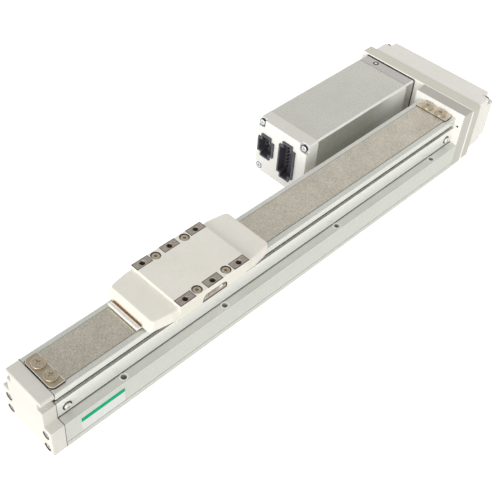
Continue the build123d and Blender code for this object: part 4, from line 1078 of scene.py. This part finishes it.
@dataclass
class Carriage:
    """Guide block, saddle, slide table and moulded cover with its scrapers."""

    centre_mm: float = -82.0
    pad_half_mm: Pair = (7.0, 3.25)
    pad_pitch_mm: float = 25.9
    pad_row_mm: float = 22.6
    pad_top_mm: float = 63.1
    # Black frame painted as shade in the joint round each pad
    joint_growths_mm: Pair = (0.34, -0.12)
    joint_corner_mm: float = 0.3
    joint_depth_mm: float = 0.3
    joint_proud_mm: float = 0.01
    collar_place_mm: Triple = (14.0, 21.7, 59.4)
    collar_mm: Tube = (3.96, 3.55, 0.0, 3.4)
    port_place_mm: Pair = (-73.3, 56.0)
    port_profile_mm: Profile = ((0.0, 1.2), (0.4, 1.2), (0.5, 1.0), (0.5, 0.45), (0.15, 0.4))
    plug_place_mm: Pair = (-76.3, 55.6)
    plug_profile_mm: Profile = ((0.0, 1.5), (0.35, 1.5), (0.45, 1.3), (0.45, 0.5), (0.3, 0.45))
    boss_face_mm: float = -25.8
    leg_face_mm: float = -24.6
    arch_half_mm: float = 11.68
    arch_top_mm: float = 57.78
    arch_foot_mm: float = 50.6
    arch_radius_mm: float = 4.2
    arch_foot_radius_mm: float = 0.4
    arch_proud_mm: float = 0.2
    # Width of the black frame painted as shade in the arch
    arch_shade_width_mm: float = 0.9
    foot_rise_mm: float = 1.6
    foot_half_mm: Pair = (11.096, 1.4)
    foot_corner_mm: float = 0.3
    cover_end_mm: float = -23.3
    cover_foot_mm: float = 52.42
    cover_shoulder_mm: float = 60.595
    brow_start_mm: float = -31.0
    brow_draft_mm: float = 0.9
    brow_half_mm: float = 23.0
    brow_side_draft_mm: float = 0.7
    brow_corner_mm: float = 3.0
    brow_root_corner_mm: float = 0.1
    brow_rounding_mm: float = 1.0
    brow_easing_mm: float = 0.3
    wiper_half_mm: float = 15.5
    wiper_reach_mm: float = 2.4
    wiper_root_mm: float = 3.0
    wiper_low_mm: float = 51.4
    wiper_high_mm: float = 53.9
    wiper_corner_mm: float = 0.8

    def build(self) -> None:
        """Dresses the carriage and adds what shows round its pads, screws, arch and rear end, with black
        frames painted as shade round the pads and in the arch.
        """
        dress(Finishes.cover_resin, "table_cover")
        dress(Finishes.ground_steel, "slide_table", "guide_block")
        dress(Finishes.saddle_enamel, "saddle")
        dress(Finishes.nickel, "table_screws", "saddle_screws", "return_cap_screws")
        dress(Finishes.bright_steel, "ball_nut")
        dress(Finishes.inner_resin, "return_cap_front", "return_cap_rear")
        dress(Finishes.scraper_resin, "scraper_holder_front")
        dress(Finishes.felt, "scraper_lip_front")
        self._shade_pad_joints()
        self._add_collars()
        self._add_grease_port()
        self._line_arch()
        self._add_rear_brow()
        self._add_rear_wiper()

    def _shade_pad_joints(self) -> None:
        """Lays a thin black frame in the joint round each steel pad, as painted shade of the gap."""
        joints = []
        length, width = self.pad_half_mm
        top = self.pad_top_mm + self.joint_proud_mm
        for column, side in product((-1, 0, 1), SIDES):
            centre = Vector((self.centre_mm + column * self.pad_pitch_mm, side * self.pad_row_mm, top))
            outlines = [
                level_outline(centre, length + grow, width + grow, self.joint_corner_mm)
                for grow in self.joint_growths_mm
            ]
            joints.append(flat_frame(*outlines, Vector((0, 0, -self.joint_depth_mm))))
        add_piece("pad_joint_shade", joints, Finishes.rubber_and_shade, Body.CARRIAGE)

    def _add_collars(self) -> None:
        """Adds the steel collar that stands round each table screw, inside the cover's hole."""
        along, across, foot = self.collar_place_mm
        collars = [
            turned(tube(*self.collar_mm), (self.centre_mm + end * along, side * across, foot), (0, 0, 1))
            for end, side in CORNERS
        ]
        add_piece("table_screw_collars", collars, Finishes.dark_steel_and_shade, Body.CARRIAGE)

    def _add_grease_port(self) -> None:
        """Adds the small brass grease port in the boss on the open side, and its white plug."""
        for name, finish, profile, (x, z) in (
            ("grease_port", Finishes.brass, self.port_profile_mm, self.port_place_mm),
            ("grease_plug", Finishes.cover_resin, self.plug_profile_mm, self.plug_place_mm),
        ):
            shape = turned(profile, (x, self.boss_face_mm, z), (0, -1, 0), closed=False)
            add_piece(name, [shape], finish, Body.CARRIAGE)

    def _line_arch(self) -> None:
        """Lines the cover's arch on the open side with a black frame as painted shade, and adds the boss's
        foot.
        """
        height = (self.arch_top_mm - self.arch_foot_mm) / 2
        depth = self.leg_face_mm - self.boss_face_mm
        centre = Vector((self.centre_mm, self.boss_face_mm - self.arch_proud_mm, self.arch_foot_mm + height))
        outlines = []
        for shrink in (0.0, self.arch_shade_width_mm):
            head, foot = self.arch_radius_mm - shrink, self.arch_foot_radius_mm
            along, up = Vector((self.arch_half_mm - shrink, 0, 0)), Vector((0, 0, height - shrink))
            outlines.append(rounded_outline(centre, along, up, [foot, head, head, foot]))
        arch_shade = flat_frame(*outlines, Vector((0, depth, 0)))
        add_piece("arch_painted_shade", [arch_shade], Finishes.rubber_and_shade, Body.CARRIAGE)
        middle = Vector((self.centre_mm, self.leg_face_mm, self.arch_foot_mm + self.foot_rise_mm))
        half_length, half_height = self.foot_half_mm
        along, up = Vector((half_length, 0, 0)), Vector((0, 0, half_height))
        boss_foot = slab(middle, along, up, depth, self.foot_corner_mm)
        add_piece("boss_foot", [boss_foot], Finishes.ground_steel, Body.CARRIAGE)

    def _add_rear_brow(self) -> None:
        """Squares up the rear end of the table cover, whose draft is smaller than the front end's."""
        height = self.cover_shoulder_mm - self.cover_foot_mm
        corners = [self.brow_corner_mm] * 2 + [self.brow_root_corner_mm] * 2
        rings = []
        for level, inset in (
            (0.0, 0.0), (height - self.brow_rounding_mm, 0.0),
            (height - self.brow_easing_mm, self.brow_easing_mm), (height, self.brow_rounding_mm),
        ):
            end = self.cover_end_mm - self.brow_draft_mm * level / height - inset
            half = self.brow_half_mm - self.brow_side_draft_mm * level / height - inset
            centre = Vector(((self.brow_start_mm + end) / 2, 0, self.cover_foot_mm + level))
            rings.append(level_outline(centre, (end - self.brow_start_mm) / 2, half, corners))
        add_piece("cover_rear_brow", [(rings, False)], Finishes.cover_resin, Body.CARRIAGE)

    def _add_rear_wiper(self) -> None:
        """Adds the felt wiper under the cover's rear end, which stays hidden below the brow."""
        start = self.cover_end_mm - self.wiper_root_mm
        stop = self.cover_end_mm + self.wiper_reach_mm
        centre = Vector(((start + stop) / 2, 0, self.wiper_low_mm))
        along, up = Vector(((stop - start) / 2, 0, 0)), Vector((0, self.wiper_half_mm, 0))
        wiper = slab(centre, along, up, self.wiper_high_mm - self.wiper_low_mm, self.wiper_corner_mm)
        piece = add_piece("rear_wiper", [wiper], Finishes.felt, Body.CARRIAGE)
        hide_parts("scraper_holder_rear", "scraper_lip_rear")


@dataclass
class DriveEnd:
    """Bearing bracket, drive plate, belt drive and pulley cover, and the threaded ball screw."""

    axis_height_mm: float = 28.3
    screw_radius_mm: float = 6.0
    journal_radius_mm: float = 4.0
    collar_radius_mm: float = 7.0
    bearing_radius_mm: float = 5.0
    collar_start_mm: float = 214.45
    collar_end_mm: float = 217.45
    front_shoulder_mm: float = -217.3
    bearing_end_mm: float = 236.0
    thread_margin_mm: float = 7.0
    lead_mm: float = 12.0
    groove_width_mm: float = 3.0
    groove_depth_mm: float = 1.0
    station_mm: float = 0.75
    shoulder_gap_mm: float = 0.01
    ring_points: int = 24
    # Dark marks painted as shade in the bracket's two tapped holes
    hole_shade_places_mm: tuple[Pair, ...] = ((12.6, 51.8), (-22.5, 43.8))
    hole_shade_profile_mm: Profile = ((0.0, 0.95), (0.1, 0.95), (0.1, 0.55), (0.02, 0.45))
    # White strips painted as highlight on the drive plate's eased edge
    plate_side_edge_mm: float = 2.0
    plate_top_edge_mm: float = 1.1
    plate_edge_shift: float = 0.4
    plate_edge_proud_mm: float = 0.3
    plate_edge_corner_mm: float = 0.3
    plate_edge_end_mm: float = 1.0

    def build(self) -> None:
        """Dresses the drive end and cuts the screw's thread."""
        dress(Finishes.bracket_enamel, "bearing_bracket")
        dress(Finishes.plate_enamel, "drive_plate")
        dress(Finishes.pulley_resin, "pulley_cover")
        dress(Finishes.bright_steel, "rear_bearing_inner", "rear_bearing_outer", "lock_nut")
        dress(Finishes.nickel, "bracket_screws", "plate_screws", "motor_screws")
        dress(Finishes.black_oxide_and_shade, "pulley_cover_screws")
        dress(Finishes.die_cast, "screw_pulley", "motor_pulley")
        dress(Finishes.rubber_and_shade, "timing_belt")
        self._turn_ball_screw()
        self._shade_bracket_holes()
        self._paint_plate_edge_highlight()

    def _paint_plate_edge_highlight(self) -> None:
        """Adds a white strip on the drive plate's eased edge beside and above the bracket, as painted
        highlight.
        """
        middle, half = node_box("bearing_bracket")
        low, high = middle - half, middle + half
        edges = []
        for width, y, z, up in (
            (self.plate_side_edge_mm, low.y, middle.z, Vector((0, 0, half.z - self.plate_edge_end_mm))),
            (self.plate_top_edge_mm, middle.y, high.z, Vector((0, half.y - self.plate_edge_end_mm, 0))),
        ):
            centre = Vector((high.x + width * self.plate_edge_shift, y, z))
            along = Vector((width / 2, 0, 0))
            edges.append(slab(centre, along, up, self.plate_edge_proud_mm, self.plate_edge_corner_mm))
        add_piece("plate_edge_highlight", edges, Finishes.bare_cut_and_highlight, Body.BASE)

    def _shade_bracket_holes(self) -> None:
        """Adds two small dark marks in the bracket's front face, as painted shade in its tapped holes."""
        middle, half = node_box("bearing_bracket")
        face = middle.x - half.x
        profile = self.hole_shade_profile_mm
        hole_marks = [turned(profile, (face, y, z), (-1, 0, 0), closed=False) for y, z in self.hole_shade_places_mm]
        add_piece("bracket_hole_shade", hole_marks, Finishes.black_oxide_and_shade, Body.BASE)

    def _radius(self, x: float, angle: float) -> float:
        """Radius of the ball screw at a place along it.

        Args:
            x: the place along X, in millimetres.
            angle: the angle round the axis, in radians.

        Returns:
            The radius in millimetres.
        """
        if x < self.front_shoulder_mm:
            return self.journal_radius_mm
        if x < self.collar_start_mm:
            start = self.front_shoulder_mm + self.thread_margin_mm
            if not start < x < self.collar_start_mm - self.thread_margin_mm:
                return self.screw_radius_mm
            offset = (x - self.lead_mm * angle / (2 * math.pi)) % self.lead_mm - self.lead_mm / 2
            share = min(1.0, abs(offset) / (self.groove_width_mm / 2))
            return self.screw_radius_mm - self.groove_depth_mm * math.sqrt(1.0 - share * share)
        if x < self.collar_end_mm:
            return self.collar_radius_mm
        return self.bearing_radius_mm if x < self.bearing_end_mm else self.journal_radius_mm

    def _turn_ball_screw(self) -> None:
        """Turns the ball screw with its rolled thread, in the place of the plain bar."""
        middle, half = node_box("ball_screw")
        steps = int(2 * half.x / self.station_mm)
        stations = [middle.x + half.x * (2 * step / steps - 1) for step in range(steps + 1)]
        shoulders = (self.front_shoulder_mm, self.collar_start_mm, self.collar_end_mm, self.bearing_end_mm)
        stations += [shoulder + side * self.shoulder_gap_mm for shoulder, side in product(shoulders, SIDES)]
        angles = [2 * math.pi * step / self.ring_points for step in range(self.ring_points)]
        rings = []
        for x in sorted(stations):
            ring = []
            for angle in angles:
                radius = self._radius(x, angle)
                z = self.axis_height_mm - radius * math.cos(angle)
                ring.append(Vector((x, radius * math.sin(angle), z)))
            rings.append(ring)
        piece = add_piece(
            "threaded_ball_screw", [(rings, False)], Finishes.thread_steel, Body.DRIVE_SCREW,
            smooth=True,
        )
        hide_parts("ball_screw")


@dataclass
class Motor:
    """Square motor with its flange, end cap, connectors and rotor."""

    flange_gap_front_mm: float = 227.95
    # Each place along the motor, with how far the black fill of the flange gap stands out there
    flange_gap_profile_mm: Profile = (
        (227.95, 0.12), (229.78, 0.12), (229.78, -1.4), (228.93, -1.4), (228.93, 0.004), (227.95, 0.004)
    )
    motor_corner_mm: float = 2.2
    plug_place_mm: Triple = (223.45, 76.6, 52.4)
    plug_profile_mm: Profile = ((0.0, 1.4), (4.0, 1.4), (4.15, 1.25), (4.15, 0.4), (4.0, 0.35))
    plug_ring_mm: Tube = (2.7, 1.42, 3.88, 3.95)
    # White lines painted as highlight on the stack's edges and joints
    edge_strip_proud_mm: float = 0.04
    edge_strip_root: float = 0.9
    edge_strip_angles_deg: Pair = (100.0, 155.0)
    edge_strip_steps: int = 4
    joint_edge_mm: float = 1.6
    joint_edge_proud_mm: float = 0.15
    joint_edge_corner_mm: float = 0.48
    screw_head_mm: float = 2.75
    # Dark sleeve painted as shade in each cap screw's pocket
    cap_screw_shade_mm: Tube = (3.27, 2.77, -1.9, -0.3)

    def build(self) -> None:
        """Dresses the motor and adds the black fill of its flange gap, its plug, white lines painted as
        highlight on its edges, and dark sleeves painted as shade round its screws.
        """
        dress(Finishes.motor_coat, "motor_stack")
        dress(Finishes.die_cast, "motor_flange")
        dress(Finishes.cap_enamel, "motor_cap")
        dress(Finishes.bright_zinc, "motor_cap_screws")
        dress(Finishes.connector, "small_connector", "large_connector")
        dress(Finishes.gold, "small_connector_pins", "large_connector_pins")
        dress(Finishes.laminate, "encoder_board", "encoder_disc")
        dress(Finishes.bright_steel, "motor_bearing_front", "motor_bearing_rear", "motor_shaft")
        dress(Finishes.ground_steel, "motor_rotor")
        self._fill_flange_gap()
        self._plug_flange()
        self._paint_stack_edge_highlights()
        self._shade_cap_screw_pockets()

    def _shade_cap_screw_pockets(self) -> None:
        """Adds a dark sleeve round the head of each of the cap's corner screws, as painted shade in its
        pocket.
        """
        middle, half = node_box("motor_cap_screws")
        y, z = half.y - self.screw_head_mm, half.z - self.screw_head_mm
        shade_sleeves = [
            turned(tube(*self.cap_screw_shade_mm), middle + Vector((-half.x, side * y, level * z)), (-1, 0, 0))
            for side, level in CORNERS
        ]
        add_piece("cap_screw_painted_shade", shade_sleeves, Finishes.black_oxide_and_shade, Body.BASE)

    def _paint_stack_edge_highlights(self) -> None:
        """Adds a white line along the stack's upper edges and down its joints with cap and flange, as painted
        highlight.
        """
        middle, half = node_box("motor_stack")
        low, high = middle - half, middle + half
        corner, steps = self.motor_corner_mm, self.edge_strip_steps
        first, last = self.edge_strip_angles_deg
        bends = [(corner + self.edge_strip_proud_mm, step) for step in range(steps + 1)]
        bends += [(corner * self.edge_strip_root, step) for step in (steps, 0)]
        edges = []
        for side in SIDES:
            centre_y = middle.y + side * (half.y - corner)
            rings = []
            for x in (low.x, self.flange_gap_front_mm):
                ring = []
                for radius, step in bends:
                    angle = math.radians(first + (last - first) * step / steps)
                    y = centre_y - radius * math.cos(angle) * side
                    ring.append(Vector((x, y, high.z - corner + radius * math.sin(angle))))
                rings.append(ring)
            edges.append((rings, False))
            along = Vector((-self.joint_edge_mm / 2, 0, 0))
            up = Vector((0, 0, side * (half.z - corner)))
            for x in (low.x, high.x):
                flank = Vector((x, middle.y + side * half.y, middle.z))
                edges.append(slab(flank, along, up, self.joint_edge_proud_mm, self.joint_edge_corner_mm))
        add_piece("motor_edge_highlights", edges, Finishes.bare_cut_and_highlight, Body.BASE)

    def _fill_flange_gap(self) -> None:
        """Lays a black ring that fills the gap between the motor's flange and the drive plate."""
        middle, half = node_box("motor_stack")
        rings = []
        for x, grow in self.flange_gap_profile_mm:
            centre = Vector((x, middle.y, middle.z))
            across, up = Vector((0, half.y + grow, 0)), Vector((0, 0, half.y + grow))
            rings.append(rounded_outline(centre, across, up, self.motor_corner_mm + grow))
        add_piece("flange_gap_fill", [(rings, True)], Finishes.rubber_and_shade, Body.BASE)

    def _plug_flange(self) -> None:
        """Adds the white plug that closes the hole in the top of the flange, and its black ring."""
        ring = turned(tube(*self.plug_ring_mm), self.plug_place_mm, (0, 0, 1))
        add_piece("flange_plug_ring", [ring], Finishes.rubber_and_shade, Body.BASE)
        plug = turned(self.plug_profile_mm, self.plug_place_mm, (0, 0, 1), closed=False)
        add_piece("flange_plug", [plug], Finishes.cover_resin, Body.BASE)


def main() -> None:
    """Builds the studio and every sub-assembly in order."""
    logging.basicConfig(level=logging.INFO, format="%(message)s")
    bpy.context.scene.view_settings.view_transform = "Standard"
    Studio().build()
    for assembly in (SliderBody, Carriage, DriveEnd, Motor):
        assembly().build()
        LOG.info("%s is done", assembly.__name__)


if __name__ == "__main__":
    main()
